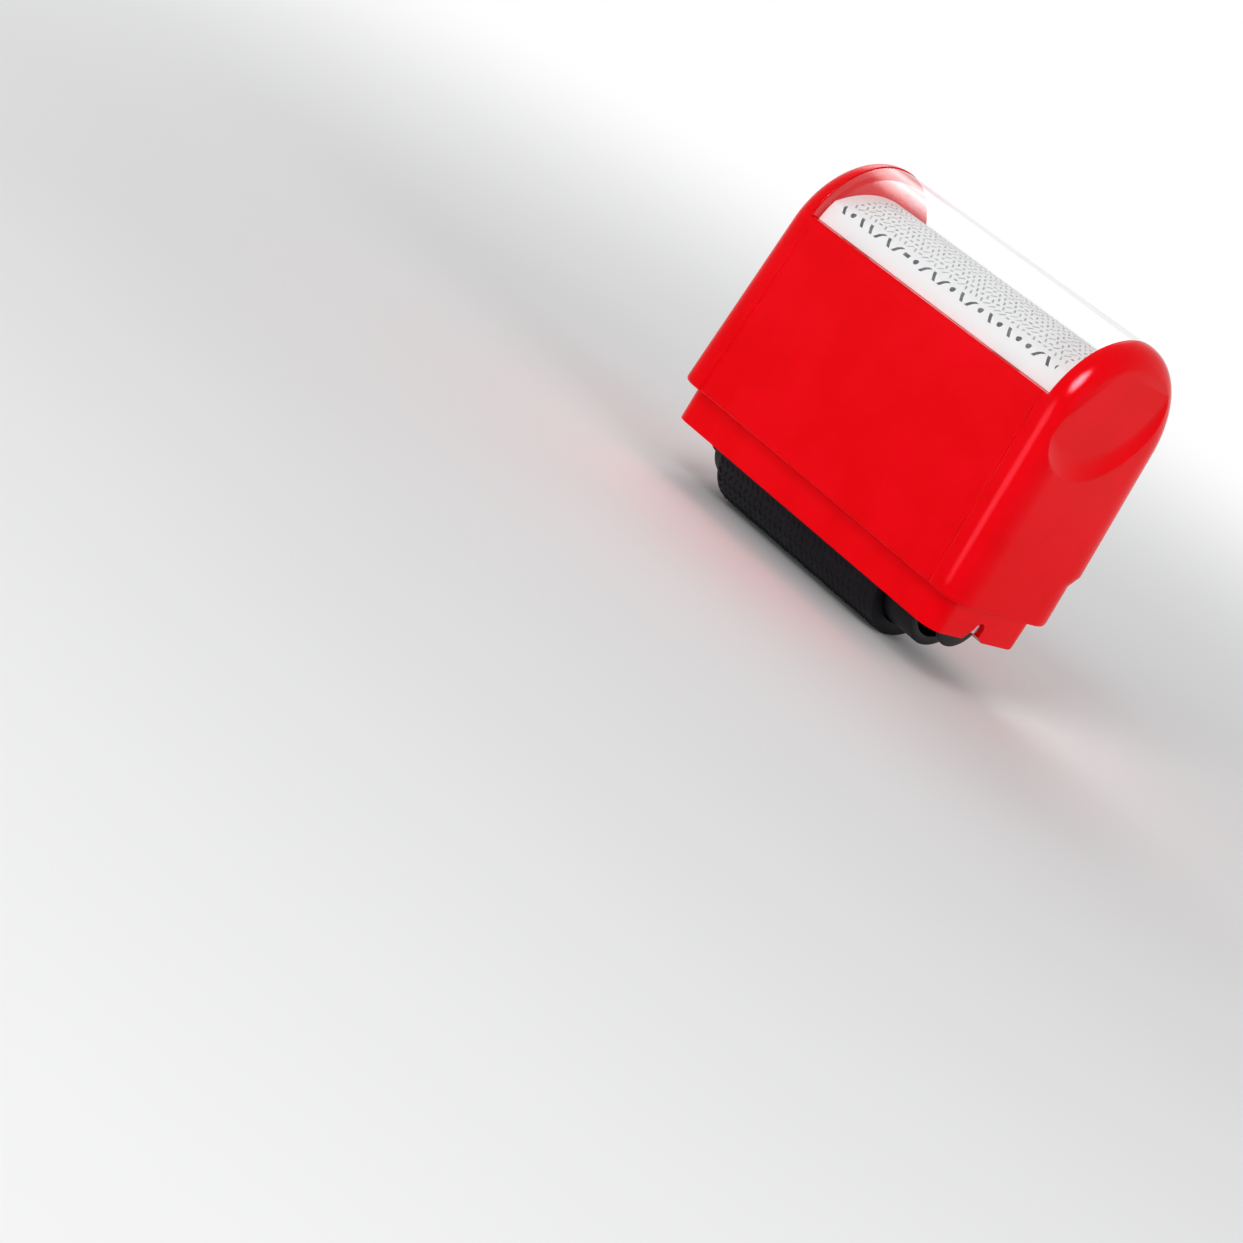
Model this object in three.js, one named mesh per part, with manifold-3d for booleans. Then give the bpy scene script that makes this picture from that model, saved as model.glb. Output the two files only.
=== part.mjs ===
// Privacy roller stamp: a red grip housing over a slide-in cassette with a print roller,
// a sprung ink roller above it, and a clear window over an index card on top.
// Millimetres, +Z up, X along the rollers, front towards -Y.
// Z = 0 is the line where the print roller meets the paper, under the middle of the housing.

import * as THREE from 'three';
import { mergeVertices } from 'three/addons/utils/BufferGeometryUtils.js';
import Module from 'manifold-3d';

const wasm = await Module();
wasm.setup();

// Housing
const HOUSING_LENGTH = 66.4;
const HOUSING_HALF_DEPTH = 15;
const HOUSING_WALL = 1.6;
const HOUSING_END_WALL = 3.45;
const END_LEAN = 2.375;
const SIDE_LEAN = 0.5;
const ARCH_RISE = 30.2;
const END_ROUND_DEPTH = 2.6;
const END_ROUND_WIDTH = 6.2;
const RIM_ROUND = 0.7;
const REAR_INSET = 1.9;
const REAR_INSET_RISE = 9;
const REAR_INSET_SLOPE = 1.9;
const PANEL_MARGIN = 0.3;
const PANEL_STEP = 0.15;
const DISH_RADIUS = 17.5;
const DISH_WALL = 3.6;
const DISH_DEPTH = 1.35;
const DISH_FORWARD = 6;
const DISH_RISE = 40;
const RIB_THICKNESS = 1.2;
const RIB_DEPTH = 1.5;
const RIB_SPACING = 28;

// Window and index card
const WINDOW_END = 6.2;
const WINDOW_THICKNESS = 1.2;
const WINDOW_START = THREE.MathUtils.degToRad(9);
const NOTCH_WIDTH = 10;
const NOTCH_DEPTH = 0.35;
const TAB_WIDTH = 6;
const TAB_THICKNESS = 0.6;
const TAB_LENGTH = 1.4;
const TAB_SPACING = 34;
const CARD_THICKNESS = 0.3;
const CARD_END_GAP = 0.4;
const CARD_FOLD = THREE.MathUtils.degToRad(27);
const CARD_START = THREE.MathUtils.degToRad(13);
const CARD_CROWN_SHARE = 0.73;
const BED_THICKNESS = 1.4;

// Cassette frame
const SKIRT_END_RECESS = 2.2;
const SKIRT_FRONT_RECESS = 2.1;
const SKIRT_REAR_RECESS = 1.9;
const SKIRT_HEIGHT = 5.7;
const SKIRT_EDGE = 3.2;
const FRAME_WALL = 1.2;
const FRAME_END_WALL = 1.4;
const FRAME_CORNER = 3;
const TUB_RISE = 8;
const TOWER_OVER_ARCH = 1.8;
const TOWER_SHOULDER_RISE = 19;
const TOWER_TOP_INSET = 7.1;
const TOWER_ROUND = 3;
const SLOT_FLARE = 1.7;
const SLOT_CHAMFER = 1.4;

// Print roller
const AXIS_FORWARD = 1.6;
const RIM_OVER_AXLE = 3.8;
const SLEEVE_THICKNESS = 2.3;
const SLEEVE_LEFT_MARGIN = 3.7;
const SLEEVE_RIGHT_MARGIN = 6.1;
const SLEEVE_EDGE = 0.5;
const SLEEVE_JOINT = 0.6;
const CORE_END_GAP = 4.05;
const CORE_WALL = 1.6;
const CORE_EDGE = 0.6;
const CORE_WEB = 2.4;
const BOSS_RIM = 1;
const BOSS_SHARE = 0.4;
const PRINT_AXLE_RADIUS = 1;
const PRINT_AXLE_END_GAP = 0.5;
const AXLE_CHAMFER = 0.3;
const COLLAR_THICKNESS = 0.6;
const COLLAR_RIM = 2.05;

// Ink roller
const INK_UNDERSIZE = 1.3;
const INK_GAP = 0.25;
const INK_SLEEVE_OVERHANG = 0.2;
const INK_CORE_SHARE = 0.6;
const INK_CORE_WALL = 1;
const INK_END_GAP = 0.5;
const INK_EDGE = 0.8;
const INK_HOLE_RADIUS = 0.9;
const INK_HOLE_ROWS = 4;
const INK_CAP_FLANGE = 1;
const INK_CAP_RIM = 2;
const INK_CAP_SPIGOT = 1.6;
const INK_AXLE_RADIUS = 1;
const FELT_PLAY = 0.5;

// Bearing blocks, springs and the cassette lid
const BLOCK_WIDTH = 6;
const BLOCK_LIP = 1.2;
const BLOCK_HEIGHT = 8;
const BLOCK_TRAVEL = 1.2;
const PEG_RADIUS = 0.9;
const PEG_HEIGHT = 2;
const SPRING_RADIUS = 1.7;
const SPRING_WIRE = 0.25;
const SPRING_COILS = 8;
const LID_THICKNESS = 1.6;
const LID_INSET = 0.4;
const LID_CORNER = 2;
const LID_TONGUE = 0.8;
const LID_HOLE_RADIUS = 1.9;
const LID_HOLE_SPACING = 26;
const LID_RIB_HEIGHT = 2.2;
const LID_RIB_WIDTH = 1.2;

// Clearances
const SEAT_GAP = 0.3;
const FIT_GAP = 0.15;
const RUNNING_GAP = 0.1;
const OVERRUN = 4;

// Facets round a full turn
const ROUND_STEPS = 48;
const SMALL_STEPS = 20;
const ARCH_STEPS = 28;
const CORNER_STEPS = 6;
const EDGE_STEPS = 3;
const MARGIN_STEPS = 8;
const COIL_STEPS = 8;

// The frame's outline and the print roller that fills it from its axle to the front wall
const FRAME_LENGTH = HOUSING_LENGTH - 2 * SKIRT_END_RECESS;
const FRAME_FRONT = HOUSING_HALF_DEPTH - SKIRT_FRONT_RECESS;
const FRAME_REAR = HOUSING_HALF_DEPTH - REAR_INSET - SKIRT_REAR_RECESS;
const FRAME_UPPER_HALF = HOUSING_LENGTH / 2 - HOUSING_END_WALL - SEAT_GAP;
const FRAME_INNER_HALF = FRAME_UPPER_HALF - FRAME_END_WALL;
const AXIS_Y = -AXIS_FORWARD;
const PRINT_RADIUS = FRAME_FRONT - FRAME_WALL - AXIS_FORWARD - SEAT_GAP;
const AXIS_Z = PRINT_RADIUS;
const BOSS_HALF = FRAME_INNER_HALF - COLLAR_THICKNESS - 2 * SEAT_GAP;
const CORE_HALF = FRAME_INNER_HALF - CORE_END_GAP;
const CORE_RADIUS = PRINT_RADIUS - SLEEVE_THICKNESS - FIT_GAP;
const SLEEVE_FROM = SLEEVE_LEFT_MARGIN - CORE_HALF;
const SLEEVE_TO = CORE_HALF - SLEEVE_RIGHT_MARGIN;

// Heights, from the rim up to the top of the arch
const RIM_HEIGHT = AXIS_Z + RIM_OVER_AXLE;
const SKIRT_BOTTOM = RIM_HEIGHT - SKIRT_HEIGHT;
const SKIRT_TOP = RIM_HEIGHT - SEAT_GAP;
const TUB_TOP = RIM_HEIGHT + TUB_RISE;
const ARCH_Z = RIM_HEIGHT + ARCH_RISE;
const ARCH_RADIUS = HOUSING_HALF_DEPTH - SIDE_LEAN;
const HOUSING_TOP = ARCH_Z + ARCH_RADIUS;
const DRAFT = 2 * END_LEAN / HOUSING_LENGTH / (HOUSING_TOP - RIM_HEIGHT);
const TOWER_TOP = ARCH_Z + TOWER_OVER_ARCH;
const TOWER_TOP_HALF = ARCH_RADIUS - TOWER_TOP_INSET;
const LID_BOTTOM = TOWER_TOP + SEAT_GAP;
const LID_TOP = LID_BOTTOM + LID_THICKNESS;
const LID_HALF_WIDTH = TOWER_TOP_HALF - LID_INSET;

// Window and card, measured from the arch's centre line
const WINDOW_LENGTH = HOUSING_LENGTH - 2 * WINDOW_END;
const PANEL_LENGTH = WINDOW_LENGTH + 2 * PANEL_MARGIN;
const WINDOW_OUTER = ARCH_RADIUS - PANEL_STEP;
const WINDOW_INNER = WINDOW_OUTER - WINDOW_THICKNESS;
const CARD_OUTER = WINDOW_INNER - SEAT_GAP;
const CARD_CROWN = CARD_OUTER * CARD_CROWN_SHARE;
const LEDGE_Z = ARCH_Z + ARCH_RADIUS * Math.sin(WINDOW_START);

// Ink roller over the print roller, and the blocks that slide inside the end walls
const INK_RADIUS = PRINT_RADIUS - INK_UNDERSIZE;
const INK_AXIS_Z = AXIS_Z + PRINT_RADIUS + INK_GAP + INK_RADIUS;
const BLOCK_FACE = draftedX(FRAME_INNER_HALF, INK_AXIS_Z + BLOCK_HEIGHT / 2 + BLOCK_TRAVEL);
const BLOCK_OUTER = BLOCK_FACE - RUNNING_GAP;
const SPRING_X = BLOCK_OUTER - SPRING_RADIUS - FIT_GAP;
const BLOCK_INNER = SPRING_X - SPRING_RADIUS - FIT_GAP;
const INK_CORE_HALF = BLOCK_INNER - INK_END_GAP - INK_CAP_FLANGE - RUNNING_GAP;
const INK_CORE_RADIUS = INK_RADIUS * INK_CORE_SHARE;
const INK_CORE_INNER = INK_CORE_RADIUS - INK_CORE_WALL;

const red = new THREE.MeshStandardMaterial({ color: 0xdf0a12, roughness: 0.18, metalness: 0 });
const frameRed = new THREE.MeshStandardMaterial({ color: 0xc60a12, roughness: 0.25, metalness: 0 });
const clear = new THREE.MeshStandardMaterial({
  color: 0xf4f6f8, roughness: 0.05, metalness: 0, transparent: true, opacity: 0.3,
});
const card = new THREE.MeshStandardMaterial({ color: 0xf6f4f0, roughness: 0.85, metalness: 0 });
const black = new THREE.MeshStandardMaterial({ color: 0x17161a, roughness: 0.45, metalness: 0 });
const rubber = new THREE.MeshStandardMaterial({ color: 0x19181c, roughness: 0.8, metalness: 0 });
const foam = new THREE.MeshStandardMaterial({ color: 0x121116, roughness: 0.95, metalness: 0 });
const felt = new THREE.MeshStandardMaterial({ color: 0x1c1a20, roughness: 1, metalness: 0 });
const nylon = new THREE.MeshStandardMaterial({ color: 0xe6e3da, roughness: 0.5, metalness: 0 });
const steel = new THREE.MeshStandardMaterial({ color: 0xb9bcc0, roughness: 0.3, metalness: 1 });

// A closed geometry as a solid that can be joined and cut
function solid(geometry) {
  const bare = geometry.clone();
  bare.deleteAttribute('normal');
  bare.deleteAttribute('uv');
  const merged = mergeVertices(bare);
  const index = merged.index.array;
  const triangles = [];
  for (let i = 0; i < index.length; i += 3) {
    const [a, b, c] = [index[i], index[i + 1], index[i + 2]];
    if (a !== b && b !== c && c !== a) triangles.push(a, b, c);
  }
  const mesh = new wasm.Mesh({
    numProp: 3,
    vertProperties: new Float32Array(merged.attributes.position.array),
    triVerts: new Uint32Array(triangles),
  });
  return new wasm.Manifold(mesh);
}

// A solid back as a geometry with flat facets
function geometryOf(shape) {
  const mesh = shape.getMesh();
  const geometry = new THREE.BufferGeometry();
  geometry.setAttribute('position', new THREE.BufferAttribute(mesh.vertProperties, mesh.numProp));
  geometry.setIndex(new THREE.BufferAttribute(mesh.triVerts, 1));
  geometry.computeVertexNormals();
  return geometry;
}

function join(...shapes) {
  return shapes.reduce((whole, shape) => whole.add(shape));
}

function cut(whole, ...shapes) {
  return shapes.reduce((rest, shape) => rest.subtract(shape), whole);
}

// An outline in Y and Z drawn out along X
function alongX(outline, from, to, curveSegments = CORNER_STEPS) {
  const geometry = new THREE.ExtrudeGeometry(outline, {
    depth: to - from, bevelEnabled: false, curveSegments,
  });
  geometry.translate(0, 0, from);
  const yzx = new THREE.Matrix4().makeBasis(
    new THREE.Vector3(0, 1, 0), new THREE.Vector3(0, 0, 1), new THREE.Vector3(1, 0, 0));
  return geometry.applyMatrix4(yzx);
}

// An outline in X and Y drawn up along Z
function alongZ(outline, from, to, curveSegments = CORNER_STEPS) {
  const geometry = new THREE.ExtrudeGeometry(outline, {
    depth: to - from, bevelEnabled: false, curveSegments,
  });
  return geometry.translate(0, 0, from);
}

// A profile of [radius, place along X] pairs turned about the X axis
function turnedAboutX(profile, steps = ROUND_STEPS) {
  const points = profile.map(([radius, x]) => new THREE.Vector2(radius, x));
  return new THREE.LatheGeometry(points, steps).rotateZ(-Math.PI / 2);
}

// The same about the Z axis, for [radius, height] pairs
function turnedAboutZ(profile, steps = SMALL_STEPS) {
  const points = profile.map(([radius, z]) => new THREE.Vector2(radius, z));
  return new THREE.LatheGeometry(points, steps).rotateX(Math.PI / 2);
}

function box(x0, x1, y0, y1, z0, z1) {
  const geometry = new THREE.BoxGeometry(x1 - x0, y1 - y0, z1 - z0);
  return geometry.translate((x0 + x1) / 2, (y0 + y1) / 2, (z0 + z1) / 2);
}

// A rectangle with round corners, for plan outlines
function roundedRectangle(x0, x1, y0, y1, radius) {
  const shape = new THREE.Shape();
  shape.absarc(x1 - radius, y0 + radius, radius, -Math.PI / 2, 0);
  shape.absarc(x1 - radius, y1 - radius, radius, 0, Math.PI / 2);
  shape.absarc(x0 + radius, y1 - radius, radius, Math.PI / 2, Math.PI);
  shape.absarc(x0 + radius, y0 + radius, radius, Math.PI, 1.5 * Math.PI);
  shape.closePath();
  return shape;
}

// Rings of equally many points, each in a plane across X, skinned and capped
function loft(rings) {
  const size = rings[0].length;
  const positions = rings.flat().flatMap((point) => [point.x, point.y, point.z]);
  const triangles = [];
  for (let ring = 0; ring + 1 < rings.length; ring += 1) {
    for (let i = 0; i < size; i += 1) {
      const a = ring * size + i;
      const b = ring * size + ((i + 1) % size);
      triangles.push(a, b, a + size, b, b + size, a + size);
    }
  }
  const flat = rings[0].map((point) => new THREE.Vector2(point.y, point.z));
  const last = (rings.length - 1) * size;
  for (const [a, b, c] of THREE.ShapeUtils.triangulateShape(flat, [])) {
    triangles.push(c, b, a, last + a, last + b, last + c);
  }
  const geometry = new THREE.BufferGeometry();
  geometry.setAttribute('position', new THREE.Float32BufferAttribute(positions, 3));
  geometry.setIndex(triangles);
  return geometry;
}

// The mould draft: everything gets shorter towards the top, measured from the rim
function drafted(geometry) {
  const position = geometry.attributes.position;
  for (let i = 0; i < position.count; i += 1) {
    position.setX(i, position.getX(i) * (1 - DRAFT * (position.getZ(i) - RIM_HEIGHT)));
  }
  return geometry;
}

// How far in from the rim plane an end face lies at a height
function draftedX(x, z) {
  return x * (1 - DRAFT * (z - RIM_HEIGHT));
}

function part(name, shape, material) {
  const mesh = new THREE.Mesh(shape.isBufferGeometry ? shape : geometryOf(shape), material);
  mesh.name = name;
  return mesh;
}

function arcPoints(x, y, radius, from, to, steps) {
  return Array.from({ length: steps + 1 }, (_, i) => {
    const angle = from + (to - from) * i / steps;
    return new THREE.Vector2(x + radius * Math.cos(angle), y + radius * Math.sin(angle));
  });
}

// Arch outline of the housing in Y and Z, drawn a distance inside its outer skin
function archOutline(inset) {
  const front = HOUSING_HALF_DEPTH - inset;
  const rearLow = HOUSING_HALF_DEPTH - REAR_INSET - inset;
  const insetTop = RIM_HEIGHT + REAR_INSET_RISE;
  const lean = (HOUSING_HALF_DEPTH - ARCH_RADIUS) * REAR_INSET_RISE / ARCH_RISE;
  const rimZ = RIM_HEIGHT + RIM_ROUND;
  return [
    ...arcPoints(rearLow - RIM_ROUND, rimZ, RIM_ROUND, -Math.PI / 2, 0, EDGE_STEPS),
    new THREE.Vector2(rearLow, insetTop - REAR_INSET_SLOPE),
    new THREE.Vector2(front - lean, insetTop),
    ...arcPoints(0, ARCH_Z, ARCH_RADIUS - inset, 0, Math.PI, ARCH_STEPS),
    ...arcPoints(RIM_ROUND - front, rimZ, RIM_ROUND, Math.PI, 1.5 * Math.PI, EDGE_STEPS),
  ];
}

// Outer form of the housing: the arch outline carried from end to end, drawn in over
// an elliptical margin at each end, and set back a little between the two end caps
function housingForm() {
  const half = HOUSING_LENGTH / 2;
  const margin = [];
  for (let i = 0; i <= MARGIN_STEPS; i += 1) {
    const turn = (i / MARGIN_STEPS) * Math.PI / 2;
    margin.push([half - END_ROUND_DEPTH * (1 - Math.sin(turn)),
      END_ROUND_WIDTH * (1 - Math.cos(turn))]);
  }
  const stations = [[PANEL_LENGTH / 2, PANEL_STEP], [PANEL_LENGTH / 2 + PANEL_STEP, 0], ...margin];
  const rings = [
    ...stations.map(([x, inset]) => [-x, inset]).reverse(),
    ...stations,
  ].map(([x, inset]) => archOutline(inset).map((p) => new THREE.Vector3(x, p.x, p.y)));
  return solid(drafted(loft(rings)));
}

// Where the steep side and the flat crown of a line under the card's face meet
function cardCorner(depth) {
  const side = CARD_OUTER - depth;
  const foldY = CARD_OUTER * Math.cos(CARD_FOLD);
  const sag = CARD_CROWN - CARD_OUTER * Math.sin(CARD_FOLD);
  const crownRadius = (foldY ** 2 + sag ** 2) / (2 * sag);
  const crownZ = ARCH_Z + CARD_CROWN - crownRadius;
  const crown = crownRadius - depth;
  const rise = crownZ - ARCH_Z;
  const z = (side ** 2 - crown ** 2 + rise ** 2) / (2 * rise);
  return { side, crown, crownZ, sideAngle: Math.asin(z / side), crownAngle: Math.asin((z - rise) / crown) };
}

// Draws the line that lies a depth under the card's face, from rear to front
function cardLine(shape, depth, start) {
  const { side, crown, crownZ, sideAngle, crownAngle } = cardCorner(depth);
  shape.absarc(0, ARCH_Z, side, start, sideAngle, false);
  shape.absarc(0, crownZ, crown, crownAngle, Math.PI - crownAngle, false);
  shape.absarc(0, ARCH_Z, side, Math.PI - sideAngle, Math.PI - start, false);
}

// The space over the card bed that the window closes
function windowPocket() {
  const shape = new THREE.Shape();
  const depth = CARD_THICKNESS + RUNNING_GAP;
  const start = Math.asin((LEDGE_Z - ARCH_Z) / (CARD_OUTER - depth));
  shape.moveTo(-ARCH_RADIUS - OVERRUN, HOUSING_TOP + OVERRUN);
  shape.lineTo(ARCH_RADIUS + OVERRUN, HOUSING_TOP + OVERRUN);
  shape.lineTo(ARCH_RADIUS + OVERRUN, LEDGE_Z);
  cardLine(shape, depth, start);
  shape.lineTo(-ARCH_RADIUS - OVERRUN, LEDGE_Z);
  return solid(alongX(shape, -WINDOW_LENGTH / 2, WINDOW_LENGTH / 2));
}

// The hollow that takes the cassette: straight walls, the rear jog and the bed's underside
function cassetteHollow() {
  const shape = new THREE.Shape();
  const wall = HOUSING_HALF_DEPTH - HOUSING_WALL;
  const top = ARCH_RADIUS - HOUSING_WALL;
  const rearLow = wall - REAR_INSET;
  const insetTop = RIM_HEIGHT + REAR_INSET_RISE;
  const bed = CARD_THICKNESS + RUNNING_GAP + BED_THICKNESS;
  const bedSide = CARD_OUTER - bed;
  shape.moveTo(-wall, RIM_HEIGHT - OVERRUN);
  shape.lineTo(rearLow, RIM_HEIGHT - OVERRUN);
  shape.lineTo(rearLow, insetTop);
  shape.lineTo(rearLow + REAR_INSET - SEAT_GAP, insetTop + REAR_INSET_SLOPE);
  shape.lineTo(top, ARCH_Z - BED_THICKNESS);
  shape.lineTo(bedSide, ARCH_Z);
  cardLine(shape, bed, 0);
  shape.lineTo(-bedSide, ARCH_Z);
  shape.lineTo(-top, ARCH_Z - BED_THICKNESS);
  const half = HOUSING_LENGTH / 2 - HOUSING_END_WALL;
  return solid(drafted(alongX(shape, -half, half)));
}

// Shallow dish for a thumb or finger: a flat floor with a soft wall, cut into one end face
function fingerDish(side) {
  const floor = draftedX(HOUSING_LENGTH / 2, RIM_HEIGHT + DISH_RISE - DISH_RADIUS) - DISH_DEPTH;
  const profile = [[0, floor]];
  const flatRadius = DISH_RADIUS - DISH_WALL;
  for (let i = 0; i <= MARGIN_STEPS; i += 1) {
    const share = i / MARGIN_STEPS;
    const lift = (1 - Math.cos(share * Math.PI)) / 2;
    profile.push([flatRadius + DISH_WALL * share, floor + DISH_DEPTH * lift]);
  }
  const outside = HOUSING_LENGTH / 2 + OVERRUN;
  profile.push([DISH_RADIUS + FIT_GAP, outside], [0, outside]);
  const geometry = turnedAboutX(profile, 2 * ROUND_STEPS);
  geometry.translate(0, -DISH_FORWARD, RIM_HEIGHT + DISH_RISE);
  if (side < 0) geometry.rotateZ(Math.PI).translate(0, -2 * DISH_FORWARD, 0);
  return solid(geometry);
}

// Pockets in the ledge that take the window's snap tabs
function tabPockets() {
  return tabPlaces().map(([x, side]) => {
    const y = side * tabCentre();
    const halfY = TAB_THICKNESS / 2 + RUNNING_GAP;
    const halfX = TAB_WIDTH / 2 + FIT_GAP;
    return solid(box(x - halfX, x + halfX, y - halfY, y + halfY,
      LEDGE_Z - TAB_LENGTH - FIT_GAP, LEDGE_Z + OVERRUN));
  });
}

function tabPlaces() {
  const x = TAB_SPACING / 2;
  return [[-x, -1], [x, -1], [-x, 1], [x, 1]];
}

// Distance of the snap tabs from the middle plane, under the middle of the window's edge
function tabCentre() {
  return (WINDOW_OUTER + WINDOW_INNER) / 2 * Math.cos(WINDOW_START) - RUNNING_GAP;
}

// Ribs under the roof that hold the cassette down, and wall ribs beside them
function housingRibs() {
  const ribs = [-1, 1].flatMap((side) => {
    const x = side * RIB_SPACING / 2;
    const x0 = x - RIB_THICKNESS / 2;
    const x1 = x + RIB_THICKNESS / 2;
    const wall = HOUSING_HALF_DEPTH - HOUSING_WALL / 2;
    const inner = ARCH_RADIUS - HOUSING_WALL - RIB_DEPTH;
    const half = LID_HALF_WIDTH - LID_CORNER;
    return [
      box(x0, x1, -wall, -inner, TUB_TOP + SEAT_GAP, ARCH_Z),
      box(x0, x1, inner, wall, TUB_TOP + REAR_INSET_SLOPE + SEAT_GAP, ARCH_Z),
      box(x0, x1, AXIS_Y - half, AXIS_Y + half, LID_TOP + SEAT_GAP, ARCH_Z + CARD_CROWN - BED_THICKNESS),
    ];
  });
  return ribs.map(solid);
}

function housingShell() {
  const form = housingForm();
  const shell = cut(form, cassetteHollow(), windowPocket(), fingerDish(1), fingerDish(-1));
  const ribbed = join(shell, ...housingRibs().map((rib) => rib.intersect(form)));
  return part('housing_shell', cut(ribbed, ...tabPockets(), windowPocket()), red);
}

// Clear arched window with a fingernail notch in its front edge and four snap tabs
function windowCover() {
  const edge = Math.asin((LEDGE_Z + FIT_GAP - ARCH_Z) / WINDOW_INNER);
  const shape = new THREE.Shape();
  shape.absarc(0, ARCH_Z, WINDOW_OUTER, edge, Math.PI - edge, false);
  shape.absarc(0, ARCH_Z, WINDOW_INNER, Math.PI - edge, edge, true);
  const half = WINDOW_LENGTH / 2 - FIT_GAP;
  const pane = solid(alongX(shape, -half, half, ARCH_STEPS / 2));
  const tabs = tabPlaces().map(([x, side]) => {
    const y = side * tabCentre();
    const seat = WINDOW_INNER * Math.sin(edge) + ARCH_Z;
    return solid(box(x - TAB_WIDTH / 2, x + TAB_WIDTH / 2, y - TAB_THICKNESS / 2,
      y + TAB_THICKNESS / 2, LEDGE_Z - TAB_LENGTH, seat + TAB_THICKNESS));
  });
  const notch = solid(box(-NOTCH_WIDTH / 2, NOTCH_WIDTH / 2, -ARCH_RADIUS - OVERRUN, 0,
    ARCH_Z, LEDGE_Z + FIT_GAP + NOTCH_DEPTH));
  return part('window_cover', cut(join(pane, ...tabs), notch), clear);
}

// Index card bent over its bed and pinched behind the window's long edges
function indexCard() {
  const shape = new THREE.Shape();
  const under = cardCorner(CARD_THICKNESS);
  cardLine(shape, 0, CARD_START);
  shape.absarc(0, ARCH_Z, under.side, Math.PI - CARD_START, Math.PI - under.sideAngle, true);
  shape.absarc(0, under.crownZ, under.crown, Math.PI - under.crownAngle, under.crownAngle, true);
  shape.absarc(0, ARCH_Z, under.side, under.sideAngle, CARD_START, true);
  const half = WINDOW_LENGTH / 2 - CARD_END_GAP;
  return part('index_card', solid(alongX(shape, -half, half)), card);
}

// Side view of a cassette end wall: full depth at the tub, narrower at the top
function towerOutline() {
  const shape = new THREE.Shape();
  const shoulder = RIM_HEIGHT + TOWER_SHOULDER_RISE;
  const topFront = AXIS_Y - TOWER_TOP_HALF;
  const topRear = AXIS_Y + TOWER_TOP_HALF;
  const front = -FRAME_FRONT + SEAT_GAP;
  const rear = FRAME_REAR;
  shape.moveTo(front, SKIRT_BOTTOM - OVERRUN);
  shape.lineTo(rear, SKIRT_BOTTOM - OVERRUN);
  shape.lineTo(rear, shoulder);
  shape.lineTo(topRear, TOWER_TOP - TOWER_ROUND);
  shape.lineTo(topRear, TOWER_TOP);
  shape.lineTo(topFront, TOWER_TOP);
  shape.lineTo(topFront, TOWER_TOP - TOWER_ROUND);
  shape.lineTo(front, shoulder);
  return shape;
}

// Slot in the end walls that the print axle snaps up into, flared towards the front
function axleSlot() {
  const half = PRINT_AXLE_RADIUS + RUNNING_GAP;
  const mouth = SKIRT_BOTTOM - OVERRUN;
  const shape = new THREE.Shape();
  shape.moveTo(AXIS_Y - half - SLOT_FLARE, mouth);
  shape.lineTo(AXIS_Y + half + SLOT_CHAMFER, mouth);
  shape.lineTo(AXIS_Y + half + SLOT_CHAMFER, SKIRT_BOTTOM);
  shape.lineTo(AXIS_Y + half, SKIRT_BOTTOM + SLOT_CHAMFER / 2);
  shape.absarc(AXIS_Y, AXIS_Z, half, 0, Math.PI);
  shape.lineTo(AXIS_Y - half - SLOT_FLARE, SKIRT_BOTTOM);
  return shape;
}

// Open-bottomed frame: a skirt below the housing's rim, a tub inside it and two end walls
function cassetteFrame() {
  const half = FRAME_LENGTH / 2;
  const skirt = solid(alongZ(roundedRectangle(-half, half, -FRAME_FRONT, FRAME_REAR, FRAME_CORNER),
    SKIRT_BOTTOM, SKIRT_TOP));
  const upper = solid(drafted(alongZ(roundedRectangle(-FRAME_UPPER_HALF, FRAME_UPPER_HALF,
    -FRAME_FRONT, FRAME_REAR, FRAME_CORNER), SKIRT_TOP, TOWER_TOP)));
  const profile = solid(alongX(towerOutline(), -half, half));
  const outer = join(skirt, upper.intersect(profile));

  const innerFront = -FRAME_FRONT + FRAME_WALL;
  const innerRear = FRAME_REAR - FRAME_WALL;
  const innerCorner = FRAME_CORNER - FRAME_WALL;
  const hollow = solid(drafted(alongZ(roundedRectangle(-FRAME_INNER_HALF, FRAME_INNER_HALF,
    innerFront, innerRear, innerCorner), SKIRT_BOTTOM - OVERRUN, TOWER_TOP + OVERRUN)));
  const bayHalf = draftedX(FRAME_INNER_HALF, TOWER_TOP) - RIB_THICKNESS;
  const bay = solid(box(-bayHalf, bayHalf, -FRAME_FRONT - OVERRUN, FRAME_REAR + OVERRUN,
    TUB_TOP, TOWER_TOP + OVERRUN));

  const guideHalf = BLOCK_WIDTH / 2 + RUNNING_GAP;
  const guide = solid(box(-half, half, AXIS_Y - guideHalf, AXIS_Y + guideHalf,
    INK_AXIS_Z - BLOCK_HEIGHT / 2 - SEAT_GAP, TOWER_TOP + OVERRUN));
  const slot = solid(alongX(axleSlot(), -half - OVERRUN, half + OVERRUN, SMALL_STEPS / 2));
  const corner = solid(alongX(skirtCorner(), -half - OVERRUN, half + OVERRUN));
  return part('cassette_frame', cut(outer, hollow, bay, guide, slot, corner), frameRed);
}

// What the rounding of the skirt's lower rear edge takes away
function skirtCorner() {
  const shape = new THREE.Shape();
  shape.moveTo(FRAME_REAR - SKIRT_EDGE, SKIRT_BOTTOM - OVERRUN);
  shape.lineTo(FRAME_REAR + OVERRUN, SKIRT_BOTTOM - OVERRUN);
  shape.lineTo(FRAME_REAR + OVERRUN, SKIRT_BOTTOM + SKIRT_EDGE);
  shape.absarc(FRAME_REAR - SKIRT_EDGE, SKIRT_BOTTOM + SKIRT_EDGE, SKIRT_EDGE, 0, -Math.PI / 2, true);
  return shape;
}

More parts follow.
